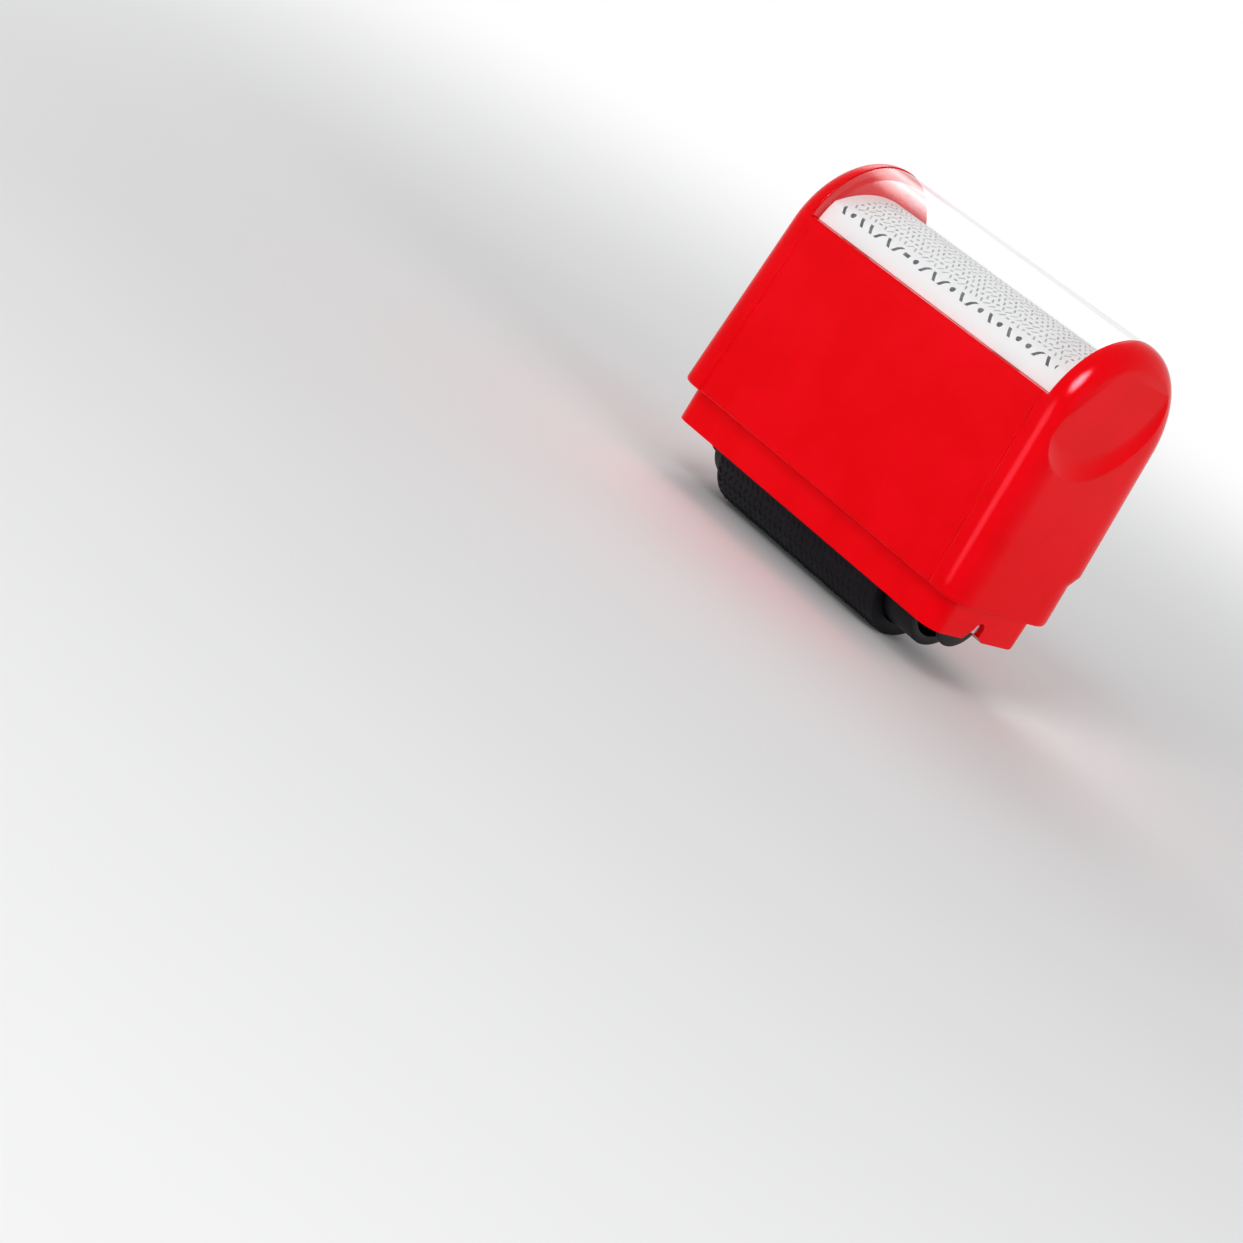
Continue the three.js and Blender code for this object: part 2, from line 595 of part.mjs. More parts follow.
// Lid across the two end walls, with drip holes for ink, spring pegs and two stiffening ribs
function cassetteLid() {
  const half = draftedX(FRAME_UPPER_HALF, TOWER_TOP);
  const front = AXIS_Y - LID_HALF_WIDTH;
  const rear = AXIS_Y + LID_HALF_WIDTH;
  const plate = solid(alongZ(roundedRectangle(-half, half, front, rear, LID_CORNER), LID_BOTTOM, LID_TOP));
  const pegs = [-1, 1].map((side) => peg(side * SPRING_X, LID_BOTTOM - PEG_HEIGHT, LID_TOP));
  const tongues = [-1, 1].map((side) => {
    const outer = side * (half - RUNNING_GAP);
    const inner = side * (half - RUNNING_GAP - LID_TONGUE);
    const halfY = BLOCK_WIDTH / 2 - RUNNING_GAP;
    return solid(box(Math.min(inner, outer), Math.max(inner, outer), AXIS_Y - halfY,
      AXIS_Y + halfY, LID_BOTTOM - PEG_HEIGHT, LID_TOP));
  });
  const ribLength = SPRING_X - SPRING_RADIUS - LID_RIB_WIDTH;
  const ribs = [front + LID_RIB_WIDTH, rear - 2 * LID_RIB_WIDTH].map((y) => solid(
    box(-ribLength, ribLength, y, y + LID_RIB_WIDTH, LID_BOTTOM - LID_RIB_HEIGHT, LID_TOP)));
  const holes = [-1, 1].map((side) => solid(
    turnedAboutZ([[0, LID_BOTTOM - OVERRUN], [LID_HOLE_RADIUS, LID_BOTTOM - OVERRUN],
      [LID_HOLE_RADIUS, LID_TOP + OVERRUN], [0, LID_TOP + OVERRUN]])
      .translate(side * LID_HOLE_SPACING / 2, AXIS_Y, 0)));
  return part('cassette_lid', cut(join(plate, ...pegs, ...tongues, ...ribs), ...holes), frameRed);
}

function peg(x, from, to) {
  const chamfered = PEG_RADIUS - AXLE_CHAMFER;
  return solid(turnedAboutZ([[0, from], [chamfered, from], [PEG_RADIUS, from + AXLE_CHAMFER],
    [PEG_RADIUS, to], [0, to]]).translate(x, AXIS_Y, 0));
}

// Bearing block of the ink axle: a web in the wall's slot and wider lips inside the wall
function inkBlock(name, side) {
  const web = BLOCK_OUTER + FRAME_END_WALL / 2;
  const low = INK_AXIS_Z - BLOCK_HEIGHT / 2;
  const high = INK_AXIS_Z + BLOCK_HEIGHT / 2;
  const half = BLOCK_WIDTH / 2;
  const lip = half + BLOCK_LIP;
  const body = box(BLOCK_INNER, BLOCK_OUTER, AXIS_Y - lip, AXIS_Y + lip, low, high);
  const tongue = box(BLOCK_OUTER - BLOCK_LIP, web, AXIS_Y - half, AXIS_Y + half, low, high);
  const bore = turnedAboutX([[0, 0], [INK_AXLE_RADIUS + RUNNING_GAP, 0],
    [INK_AXLE_RADIUS + RUNNING_GAP, FRAME_LENGTH], [0, FRAME_LENGTH]], SMALL_STEPS)
    .translate(0, AXIS_Y, INK_AXIS_Z);
  const block = cut(join(solid(body), solid(tongue), peg(SPRING_X, low, high + PEG_HEIGHT)), solid(bore));
  const geometry = geometryOf(block);
  if (side < 0) geometry.rotateZ(Math.PI).translate(0, 2 * AXIS_Y, 0);
  return part(name, geometry, black);
}

// One coil spring between a bearing block and the lid
class Helix extends THREE.Curve {
  constructor(radius, height, turns) {
    super();
    this.radius = radius;
    this.height = height;
    this.turns = turns;
  }

  getPoint(share, target = new THREE.Vector3()) {
    const angle = share * this.turns * 2 * Math.PI;
    return target.set(this.radius * Math.cos(angle), this.radius * Math.sin(angle), share * this.height);
  }
}

function inkSpring(name, side) {
  const low = INK_AXIS_Z + BLOCK_HEIGHT / 2 + SPRING_WIRE + RUNNING_GAP;
  const high = LID_BOTTOM - SPRING_WIRE - RUNNING_GAP;
  const wire = new THREE.Shape().absarc(0, 0, SPRING_WIRE, 0, 2 * Math.PI);
  const geometry = new THREE.ExtrudeGeometry(wire, {
    steps: SPRING_COILS * COIL_STEPS,
    curveSegments: EDGE_STEPS,
    extrudePath: new Helix(SPRING_RADIUS - SPRING_WIRE, high - low, SPRING_COILS),
  });
  return part(name, solid(geometry.translate(side * SPRING_X, AXIS_Y, low)), steel);
}

function rod(radius, half) {
  return turnedAboutX([[0, -half], [radius - AXLE_CHAMFER, -half], [radius, -half + AXLE_CHAMFER],
    [radius, half - AXLE_CHAMFER], [radius - AXLE_CHAMFER, half], [0, half]], SMALL_STEPS);
}

// Moulded spool: a drum carried by a middle web on a long boss, open at both ends
function printCore() {
  const bore = PRINT_AXLE_RADIUS + FIT_GAP;
  const drumInner = CORE_RADIUS - CORE_WALL;
  const hub = bore + BOSS_RIM;
  const boss = hub + (drumInner - hub) * BOSS_SHARE;
  const web = CORE_WEB / 2;
  const profile = [
    [bore, -BOSS_HALF], [hub, -BOSS_HALF], [boss, -CORE_HALF], [boss, -web],
    [drumInner, -web], [drumInner, -CORE_HALF], [CORE_RADIUS - CORE_EDGE, -CORE_HALF],
    [CORE_RADIUS, CORE_EDGE - CORE_HALF], [CORE_RADIUS, CORE_HALF - CORE_EDGE],
    [CORE_RADIUS - CORE_EDGE, CORE_HALF], [drumInner, CORE_HALF], [drumInner, web],
    [boss, web], [boss, CORE_HALF], [hub, BOSS_HALF], [bore, BOSS_HALF],
    [bore, -BOSS_HALF],
  ];
  return part('print_core', solid(turnedAboutX(profile)), black);
}

// Rubber printing sheet wrapped round the drum, with the narrow joint where its ends meet
function printSleeve() {
  const inner = CORE_RADIUS + FIT_GAP;
  const profile = [[inner, SLEEVE_FROM], [PRINT_RADIUS - SLEEVE_EDGE, SLEEVE_FROM],
    [PRINT_RADIUS, SLEEVE_FROM + SLEEVE_EDGE], [PRINT_RADIUS, SLEEVE_TO - SLEEVE_EDGE],
    [PRINT_RADIUS - SLEEVE_EDGE, SLEEVE_TO], [inner, SLEEVE_TO], [inner, SLEEVE_FROM]];
  const joint = box(SLEEVE_FROM - OVERRUN, SLEEVE_TO + OVERRUN, -SLEEVE_JOINT / 2,
    SLEEVE_JOINT / 2, inner - SLEEVE_EDGE, PRINT_RADIUS + OVERRUN);
  return part('print_sleeve', cut(solid(turnedAboutX(profile)), solid(joint)), rubber);
}

function printCollar(name, side) {
  const bore = PRINT_AXLE_RADIUS + FIT_GAP;
  const near = BOSS_HALF + SEAT_GAP;
  const far = near + COLLAR_THICKNESS;
  const [from, to] = side > 0 ? [near, far] : [-far, -near];
  const rim = bore + COLLAR_RIM;
  const profile = [[bore, from], [rim, from], [rim, to], [bore, to], [bore, from]];
  return part(name, solid(turnedAboutX(profile, SMALL_STEPS)), black);
}

// Perforated reservoir tube that feeds ink out to the foam
function inkCore() {
  const tube = solid(turnedAboutX([[INK_CORE_INNER, -INK_CORE_HALF], [INK_CORE_RADIUS, -INK_CORE_HALF],
    [INK_CORE_RADIUS, INK_CORE_HALF], [INK_CORE_INNER, INK_CORE_HALF], [INK_CORE_INNER, -INK_CORE_HALF]]));
  const pitch = (SLEEVE_TO - SLEEVE_FROM) / INK_HOLE_ROWS;
  const holes = [];
  for (let row = 0; row < INK_HOLE_ROWS; row += 1) {
    const x = SLEEVE_FROM + (row + 1 / 2) * pitch;
    for (const turn of [0, Math.PI / 2]) {
      const drill = turnedAboutZ([[0, -INK_RADIUS], [INK_HOLE_RADIUS, -INK_RADIUS],
        [INK_HOLE_RADIUS, INK_RADIUS], [0, INK_RADIUS]], SMALL_STEPS / 2);
      holes.push(solid(drill.rotateX(turn).translate(x, 0, 0)));
    }
  }
  return part('ink_core', cut(tube, ...holes), nylon);
}

// Foam sleeve that holds the ink and rolls on the print sleeve
function inkSleeve() {
  const from = SLEEVE_FROM - INK_SLEEVE_OVERHANG;
  const to = SLEEVE_TO + INK_SLEEVE_OVERHANG;
  const inner = INK_CORE_RADIUS + FIT_GAP;
  const profile = [[inner, from], [INK_RADIUS - INK_EDGE, from], [INK_RADIUS, from + INK_EDGE],
    [INK_RADIUS, to - INK_EDGE], [INK_RADIUS - INK_EDGE, to], [inner, to], [inner, from]];
  return part('ink_sleeve', solid(turnedAboutX(profile)), foam);
}

// Felt wick inside the reservoir tube
function inkFelt() {
  const half = INK_CORE_HALF - INK_CAP_SPIGOT - SEAT_GAP;
  const bore = INK_AXLE_RADIUS + FELT_PLAY;
  const outer = INK_CORE_INNER - FIT_GAP;
  const profile = [[bore, -half], [outer, -half], [outer, half], [bore, half], [bore, -half]];
  return part('ink_felt', solid(turnedAboutX(profile, SMALL_STEPS)), felt);
}

// End cap of the reservoir tube, with the bearing bore of the ink roller
function inkCap(name, side) {
  const bore = INK_AXLE_RADIUS + RUNNING_GAP;
  const spigot = INK_CORE_INNER - FIT_GAP;
  const rim = INK_CORE_RADIUS + INK_CAP_RIM;
  const seat = INK_CORE_HALF + RUNNING_GAP;
  const profile = [[bore, seat - INK_CAP_SPIGOT], [spigot, seat - INK_CAP_SPIGOT], [spigot, seat],
    [rim, seat], [rim, seat + INK_CAP_FLANGE], [bore, seat + INK_CAP_FLANGE],
    [bore, seat - INK_CAP_SPIGOT]];
  const geometry = geometryOf(solid(turnedAboutX(profile)));
  if (side < 0) geometry.rotateZ(Math.PI);
  return part(name, geometry, black);
}

const printRoller = new THREE.Group();
printRoller.position.set(0, AXIS_Y, AXIS_Z);
printRoller.add(
  part('print_axle', solid(rod(PRINT_AXLE_RADIUS, FRAME_LENGTH / 2 - PRINT_AXLE_END_GAP)), steel),
  printCore(),
  printSleeve(),
  printCollar('left_print_collar', -1),
  printCollar('right_print_collar', 1),
);

const inkRoller = new THREE.Group();
inkRoller.position.set(0, AXIS_Y, INK_AXIS_Z);
inkRoller.add(
  part('ink_axle', solid(rod(INK_AXLE_RADIUS, BLOCK_FACE + FRAME_END_WALL / 2)), steel),
  inkCore(),
  inkSleeve(),
  inkFelt(),
  inkCap('left_ink_cap', -1),
  inkCap('right_ink_cap', 1),
);

const cassette = new THREE.Group();
cassette.add(
  cassetteFrame(),
  cassetteLid(),
  inkBlock('left_ink_block', -1),
  inkBlock('right_ink_block', 1),
  inkSpring('left_ink_spring', -1),
  inkSpring('right_ink_spring', 1),
  printRoller,
  inkRoller,
);

const stamp = new THREE.Group();
stamp.add(housingShell(), windowCover(), indexCard(), cassette);

export default stamp;
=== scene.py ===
import math

import bmesh
import bpy
from mathutils import Matrix, Vector


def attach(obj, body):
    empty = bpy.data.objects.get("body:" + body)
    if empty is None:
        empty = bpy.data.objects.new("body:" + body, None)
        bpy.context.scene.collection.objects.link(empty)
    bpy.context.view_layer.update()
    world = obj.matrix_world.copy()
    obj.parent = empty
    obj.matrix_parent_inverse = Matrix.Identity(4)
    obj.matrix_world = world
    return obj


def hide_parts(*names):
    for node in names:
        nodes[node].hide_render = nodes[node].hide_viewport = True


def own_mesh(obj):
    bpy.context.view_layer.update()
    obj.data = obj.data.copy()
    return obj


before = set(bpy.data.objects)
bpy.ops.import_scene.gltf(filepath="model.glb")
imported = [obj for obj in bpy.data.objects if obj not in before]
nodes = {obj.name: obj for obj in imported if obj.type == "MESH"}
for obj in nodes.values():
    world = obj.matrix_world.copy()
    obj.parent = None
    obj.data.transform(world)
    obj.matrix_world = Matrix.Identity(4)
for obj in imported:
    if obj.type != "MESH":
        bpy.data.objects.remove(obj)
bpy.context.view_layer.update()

# The viewpoint: a long lens, a little above the stamp and to the right of its front face,
# held at a tilt so that the stamp leans in the picture.
lens = bpy.data.cameras.new("camera")
lens.lens = 86.297
lens.sensor_width = 36
lens.clip_start = 0.01
camera = bpy.data.objects.new("camera", lens)
bpy.context.scene.collection.objects.link(camera)
camera.matrix_world = Matrix((
    (0.58890549, -0.55308385, 0.58931195, 0.25952701),
    (0.63271868, -0.13816751, -0.76195591, -0.37208022),
    (0.50284927, 0.8215887, 0.26857888, 0.10297748),
    (0, 0, 0, 1),
))
bpy.context.scene.camera = camera

# Housing: one moulding in glossy red plastic, a drafted arch with a stepped panel between two
# rounded end margins, a round finger dish in each end, and a bed and ledge for card and window.
# It is hollow, open below, with ribs inside that hold the cassette down.
MM = 0.001
HALF_LENGTH = 33.2
RIM = 13.6
ARCH_HEIGHT = 43.8
ARCH = 14.5
FRONT = -15.0
REAR = 13.1
REAR_ABOVE_JOG = 14.851
JOG_LOW = 20.7
JOG_HIGH = 22.6
RIM_ROUND = 0.7
DRAFT_AT_TOP = 2.375
DRAFT = DRAFT_AT_TOP / HALF_LENGTH / (ARCH_HEIGHT + ARCH - RIM)
PANEL_HALF = 27.3
PANEL_STEP = 0.15
SEAM_DEPTH = 0.27
SEAM_WIDTH = 0.12
MARGIN_DEPTH = 4.6
MARGIN_WIDTH = 6.2
MARGIN_FULLNESS = 0.77
END_MIDDLE = 34
LEDGE = 46.068


class Pen:
    """Draws an outline in a bmesh by moving on from its last point, in millimetres."""

    def __init__(self, bm, *start):
        self.bm = bm
        self.first = self.tip = bm.verts.new(start)

    def line(self, *place):
        self.tip = bmesh.ops.extrude_vert_indiv(self.bm, verts=[self.tip])["verts"][0]
        self.tip.co = place
        return self

    def turn(self, centre, axis, degrees, steps):
        made = bmesh.ops.spin(self.bm, geom=[self.tip], cent=centre, axis=axis,
                              angle=math.radians(degrees), steps=steps)
        self.tip = made["geom_last"][0]
        return self

    def close(self):
        bmesh.ops.contextual_create(self.bm, geom=[self.tip, self.first])
        return self


def drawn_out(bm, edges, x):
    """The edges carried on to a place along X, with walls between. Gives the new edges."""
    made = bmesh.ops.extrude_edge_only(bm, edges=edges)["geom"]
    verts = [part for part in made if isinstance(part, bmesh.types.BMVert)]
    for vert in verts:
        vert.co.x = x
    ends = set(verts)
    return [part for part in made if isinstance(part, bmesh.types.BMEdge)
            and part.verts[0] in ends and part.verts[1] in ends], verts


def drafted(bm):
    """Shortens a moulding towards its top, as the draft of its mould does."""
    for vert in bm.verts:
        vert.co.x *= 1 - DRAFT * (vert.co.z - RIM)


def prism(bm, from_x, to_x):
    """Makes the outline in a bmesh a closed bar between two places along X."""
    for vert in bm.verts:
        vert.co.x = from_x
    first = bm.edges[:]
    last, _ = drawn_out(bm, first, to_x)
    bmesh.ops.contextual_create(bm, geom=first)
    bmesh.ops.contextual_create(bm, geom=last)
    return bm


def block(bm, low, high):
    """Adds a box between two corners."""
    made = bmesh.ops.create_cube(bm, size=1)["verts"]
    middle = (Vector(low) + Vector(high)) / 2
    bmesh.ops.scale(bm, vec=Vector(high) - Vector(low), verts=made)
    bmesh.ops.translate(bm, vec=middle, verts=made)


def mesh_of(bm, name):
    """A mesh from a bmesh in millimetres, in metres and with its faces outwards."""
    bmesh.ops.recalc_face_normals(bm, faces=bm.faces)
    bmesh.ops.scale(bm, vec=(MM, MM, MM), verts=bm.verts)
    mesh = bpy.data.meshes.new(name)
    bm.to_mesh(mesh)
    bm.free()
    return mesh


def carved(bm, *steps):
    """Adds or cuts away other solids, each given as an operation and a bmesh."""
    body = bpy.data.objects.new("body", mesh_of(bm, "body"))
    bpy.context.scene.collection.objects.link(body)
    for operation, tool_bm in steps:
        tool = bpy.data.objects.new("tool", mesh_of(tool_bm, "tool"))
        bpy.context.scene.collection.objects.link(tool)
        carve = body.modifiers.new("carve", "BOOLEAN")
        carve.operation = operation
        carve.object = tool
        carve.solver = "EXACT"
        carved_mesh = bpy.data.meshes.new_from_object(
            body.evaluated_get(bpy.context.evaluated_depsgraph_get()))
        body.modifiers.remove(carve)
        body.data = carved_mesh
        bpy.data.objects.remove(tool)
    result = bmesh.new()
    result.from_mesh(body.data)
    bmesh.ops.scale(result, vec=(1 / MM, 1 / MM, 1 / MM), verts=result.verts)
    bpy.data.objects.remove(body)
    return result


def piece(bm, name, body, replaced, finish, smooth=32):
    """Finishes a bmesh as a piece of the stamp that rides on a body and stands for CAD nodes."""
    made = bpy.data.objects.new(name, mesh_of(bm, name))
    bpy.context.scene.collection.objects.link(made)
    for face in made.data.polygons:
        face.use_smooth = True
    made.data.set_sharp_from_angle(angle=math.radians(smooth))
    made.data.materials.clear()
    made.data.materials.append(finish.material)
    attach(made, body)
    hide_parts(*replaced)
    return made


def housing_form():
    form = bmesh.new()
    corner = RIM + RIM_ROUND
    pen = Pen(form, 0, FRONT + RIM_ROUND, RIM)
    pen.line(0, REAR - RIM_ROUND, RIM).turn((0, REAR - RIM_ROUND, corner), (1, 0, 0), 90, 5)
    pen.line(0, REAR, JOG_LOW).line(0, REAR_ABOVE_JOG, JOG_HIGH).line(0, ARCH, ARCH_HEIGHT)
    pen.turn((0, 0, ARCH_HEIGHT), (1, 0, 0), 180, 96)
    pen.line(0, FRONT, corner).turn((0, FRONT + RIM_ROUND, corner), (1, 0, 0), 90, 5)
    bmesh.ops.contextual_create(form, geom=[pen.tip, pen.first])
    bmesh.ops.remove_doubles(form, verts=form.verts, dist=0.001)
    longest = 1.2
    for edge in form.edges[:]:
        cuts = int(edge.calc_length() / longest)
        if cuts:
            bmesh.ops.subdivide_edges(form, edges=[edge], cuts=cuts)
    ring = form.edges[:]
    verts = form.verts[:]
    stations = [(PANEL_HALF - 0.4, PANEL_STEP), (PANEL_HALF - 0.06, PANEL_STEP),
                (PANEL_HALF, SEAM_DEPTH), (PANEL_HALF + SEAM_WIDTH, SEAM_DEPTH),
                (PANEL_HALF + 0.4, 0.03), (PANEL_HALF + 0.6, 0), (PANEL_HALF + 0.9, 0)]
    steps = 30
    for step in range(steps + 1):
        turn = math.radians(90) * step / steps
        stations.append((HALF_LENGTH - MARGIN_DEPTH * (1 - math.sin(turn) ** MARGIN_FULLNESS),
                         MARGIN_WIDTH * (1 - abs(math.cos(turn)) ** MARGIN_FULLNESS)))
    draw_in(verts, PANEL_STEP)
    inset = PANEL_STEP
    for x, depth in stations:
        ring, verts = drawn_out(form, ring, x)
        draw_in(verts, depth - inset, inset)
        inset = depth
    middle = Matrix.Translation((0, 0, -END_MIDDLE))
    rings = 40
    for step in range(rings - 1, 0, -1):
        ring, verts = drawn_out(form, ring, HALF_LENGTH)
        share = step / (step + 1)
        bmesh.ops.scale(form, vec=(1, share, share), space=middle, verts=verts)
    bmesh.ops.pointmerge(form, verts=verts, merge_co=(HALF_LENGTH, 0, END_MIDDLE))
    bmesh.ops.mirror(form, geom=form.verts[:] + form.edges[:] + form.faces[:],
                     matrix=Matrix.Identity(4), merge_dist=0.001, axis="X")
    drafted(form)
    return form


def draw_in(verts, by, already=0):
    """Moves an outline in from the skin: its arch towards the centre, its walls along Y."""
    underside_half = 7
    for vert in verts:
        if vert.co.z > ARCH_HEIGHT:
            share = (ARCH - already - by) / (ARCH - already)
            vert.co.y *= share
            vert.co.z = ARCH_HEIGHT + (vert.co.z - ARCH_HEIGHT) * share
        else:
            vert.co.y -= by * max(-1, min(1, vert.co.y / underside_half))


CARD_SIDE = 12.85
CARD_FOLD = math.radians(27)
CARD_RISE = 0.73 * CARD_SIDE
FOLD_HALF = CARD_SIDE * math.cos(CARD_FOLD)
FOLD_RISE = CARD_SIDE * math.sin(CARD_FOLD)
CROWN = (FOLD_HALF ** 2 / (CARD_RISE - FOLD_RISE) + CARD_RISE - FOLD_RISE) / 2
CROWN_CENTRE = ARCH_HEIGHT + CARD_RISE - CROWN


def card_line(pen, depth, from_degrees):
    """Draws the line a depth under the card's face: steep sides and a flatter crown."""
    side = CARD_SIDE - depth
    crown = CROWN - depth
    rise = CROWN_CENTRE - ARCH_HEIGHT
    meet = (side ** 2 - crown ** 2 + rise ** 2) / (2 * rise)
    side_turn = math.degrees(math.asin(meet / side))
    crown_turn = math.degrees(math.asin((meet - rise) / crown))
    pen.turn((0, 0, ARCH_HEIGHT), (1, 0, 0), side_turn - from_degrees, 8)
    pen.turn((0, 0, CROWN_CENTRE), (1, 0, 0), 180 - 2 * crown_turn, 48)
    pen.turn((0, 0, ARCH_HEIGHT), (1, 0, 0), side_turn - from_degrees, 8)


HOLLOW_FRONT = -13.4
HOLLOW_REAR = 11.5
HOLLOW_REAR_ABOVE_JOG = 13.1
HOLLOW_TOP_HALF = 12.9
SHOULDER_LOW = ARCH_HEIGHT - 1.4
BED_UNDERSIDE = 1.8
END_WALL = 3.45


def cassette_hollow():
    hollow = bmesh.new()
    below = RIM - 4
    pen = Pen(hollow, 0, HOLLOW_FRONT, below)
    pen.line(0, HOLLOW_REAR, below).line(0, HOLLOW_REAR, JOG_HIGH)
    pen.line(0, HOLLOW_REAR_ABOVE_JOG, JOG_HIGH + 1.9)
    pen.line(0, HOLLOW_TOP_HALF, SHOULDER_LOW).line(0, CARD_SIDE - BED_UNDERSIDE, ARCH_HEIGHT)
    card_line(pen, BED_UNDERSIDE, 0)
    pen.line(0, -HOLLOW_TOP_HALF, SHOULDER_LOW).close()
    prism(hollow, -HALF_LENGTH + END_WALL, HALF_LENGTH - END_WALL)
    drafted(hollow)
    return hollow


BED_DEPTH = 0.4
POCKET_HALF = 27
CLEAR_OF_ARCH = ARCH + 4


def window_pocket():
    pocket = bmesh.new()
    bed = CARD_SIDE - BED_DEPTH
    start = math.asin((LEDGE - ARCH_HEIGHT) / bed)
    above = ARCH_HEIGHT + CLEAR_OF_ARCH
    pen = Pen(pocket, 0, -CLEAR_OF_ARCH, above)
    pen.line(0, CLEAR_OF_ARCH, above).line(0, CLEAR_OF_ARCH, LEDGE)
    pen.line(0, bed * math.cos(start), LEDGE)
    card_line(pen, BED_DEPTH, math.degrees(start))
    pen.line(0, -CLEAR_OF_ARCH, LEDGE).close()
    return prism(pocket, -POCKET_HALF, POCKET_HALF)


DISH_FLOOR = 30.654
DISH_FLAT = 13.6
DISH_WALL = 3.8
DISH_RISE = 1.45
DISH_Y = -6
DISH_Z = 53.6


def finger_dish(side):
    dish = bmesh.new()
    pen = Pen(dish, 0, 0, 0)
    pen.line(0, DISH_FLAT, 0)
    steps = 14
    for step in range(1, steps + 1):
        share = step / steps
        rise = DISH_RISE * (1 - math.cos(math.pi / 2 * share))
        pen.line(rise, DISH_FLAT + DISH_WALL * share, 0)
    outside = 6.5
    pen.line(outside, DISH_FLAT + DISH_WALL + 0.8, 0).line(outside, 0, 0)
    bmesh.ops.spin(dish, geom=dish.verts[:] + dish.edges[:], cent=(0, 0, 0), axis=(1, 0, 0),
                   angle=math.tau, steps=144, use_merge=True)
    bmesh.ops.remove_doubles(dish, verts=dish.verts, dist=0.001)
    bmesh.ops.scale(dish, vec=(side, 1, 1), verts=dish.verts)
    bmesh.ops.translate(dish, vec=(side * DISH_FLOOR, DISH_Y, DISH_Z), verts=dish.verts)
    return dish


class Reading:
    """A number or colour that a finish reads over the surface, for plain arithmetic."""

    def __init__(self, finish, socket):
        self.finish = finish
        self.socket = socket

    def _with(self, operation, *terms):
        return self.finish.node("ShaderNodeMath", {"operation": operation}, dict(enumerate(terms)))

    def __add__(self, other):
        return self._with("ADD", self, other)

    def __mul__(self, other):
        return self._with("MULTIPLY", self, other)

    def __sub__(self, other):
        return self._with("SUBTRACT", self, other)

    def __rsub__(self, other):
        return self._with("SUBTRACT", other, self)

    def __truediv__(self, other):
        return self._with("DIVIDE", self, other)

    def __lt__(self, other):
        return self._with("LESS_THAN", self, other)

    def __gt__(self, other):
        return self._with("GREATER_THAN", self, other)

    def __abs__(self):
        return self._with("ABSOLUTE", self)

    def __pow__(self, power):
        return self._with("POWER", self, power)

    def __floor__(self):
        return self._with("FLOOR", self)

    __radd__ = __add__
    __rmul__ = __mul__

    def fraction(self):
        return self._with("FRACT", self)

    def eased(self, low, high):
        """0 below low, 1 above high, and smooth between."""
        return self.finish.node("ShaderNodeMapRange", {"interpolation_type": "SMOOTHSTEP"},
                                {0: self, 1: low, 2: high, 3: 0.0, 4: 1.0})


class Finish:
    """One material, its nodes written as expressions over the surface in millimetres."""

    def __init__(self, name):
        self.material = bpy.data.materials.new(name)
        self.material.use_nodes = True
        self.tree = self.material.node_tree
        self.tree.nodes.clear()
        self.output = self.tree.nodes.new("ShaderNodeOutputMaterial")
        place = self.node("ShaderNodeTexCoord", output="Object")
        self.place = self.node("ShaderNodeVectorMath", {"operation": "SCALE"},
                               {0: place, "Scale": 1 / MM})
        split = self.node("ShaderNodeSeparateXYZ", sockets={0: self.place})
        self.x, self.y, self.z = (
            Reading(self, out) for out in split.socket.node.outputs)

    def node(self, kind, settings=None, sockets=None, output=0):
        made = self.tree.nodes.new(kind)
        for key, value in (settings or {}).items():
            setattr(made, key, value)
        for key, value in (sockets or {}).items():
            if isinstance(value, Reading):
                self.tree.links.new(value.socket, made.inputs[key])
            else:
                made.inputs[key].default_value = value
        return Reading(self, made.outputs[output])

    def noise(self, size, detail=2.0, rough=0.5, stretch=None):
        """Soft blotches about a size across, in millimetres, from 0 to 1."""
        place = self.place
        if stretch:
            place = self.node("ShaderNodeVectorMath", {"operation": "MULTIPLY"},
                              {0: self.place, 1: stretch})
        return self.node("ShaderNodeTexNoise", {}, {
            "Vector": place, "Scale": 1 / size, "Detail": detail, "Roughness": rough})

    def between(self, share, low, high):
        """A colour that goes from one to another as a number goes from 0 to 1."""
        return self.node("ShaderNodeMix", {"data_type": "RGBA"},
                         {0: share, 6: (*low, 1) if isinstance(low, tuple) else low,
                          7: (*high, 1) if isinstance(high, tuple) else high}, output=2)

    def soft_edges(self, radius):
        """The surface's direction with every edge rounded by a radius, in millimetres."""
        return self.node("ShaderNodeBevel", {"samples": 4}, {"Radius": radius * MM})

    def grain(self, height, depth, under=None):
        """The surface's direction with a relief of a depth in millimetres on it."""
        sockets = {"Height": height, "Distance": depth * MM, "Strength": 1.0}
        if under:
            sockets["Normal"] = under
        return self.node("ShaderNodeBump", {}, sockets)

    def solid(self, **sockets):
        """The finished surface, with sockets named in lower case."""
        named = {key.replace("_", " ").title().replace("Ior", "IOR"): value
                 for key, value in sockets.items()}
        surface = self.node("ShaderNodeBsdfPrincipled", {}, named)
        self.tree.links.new(surface.socket, self.output.inputs[0])
        return self


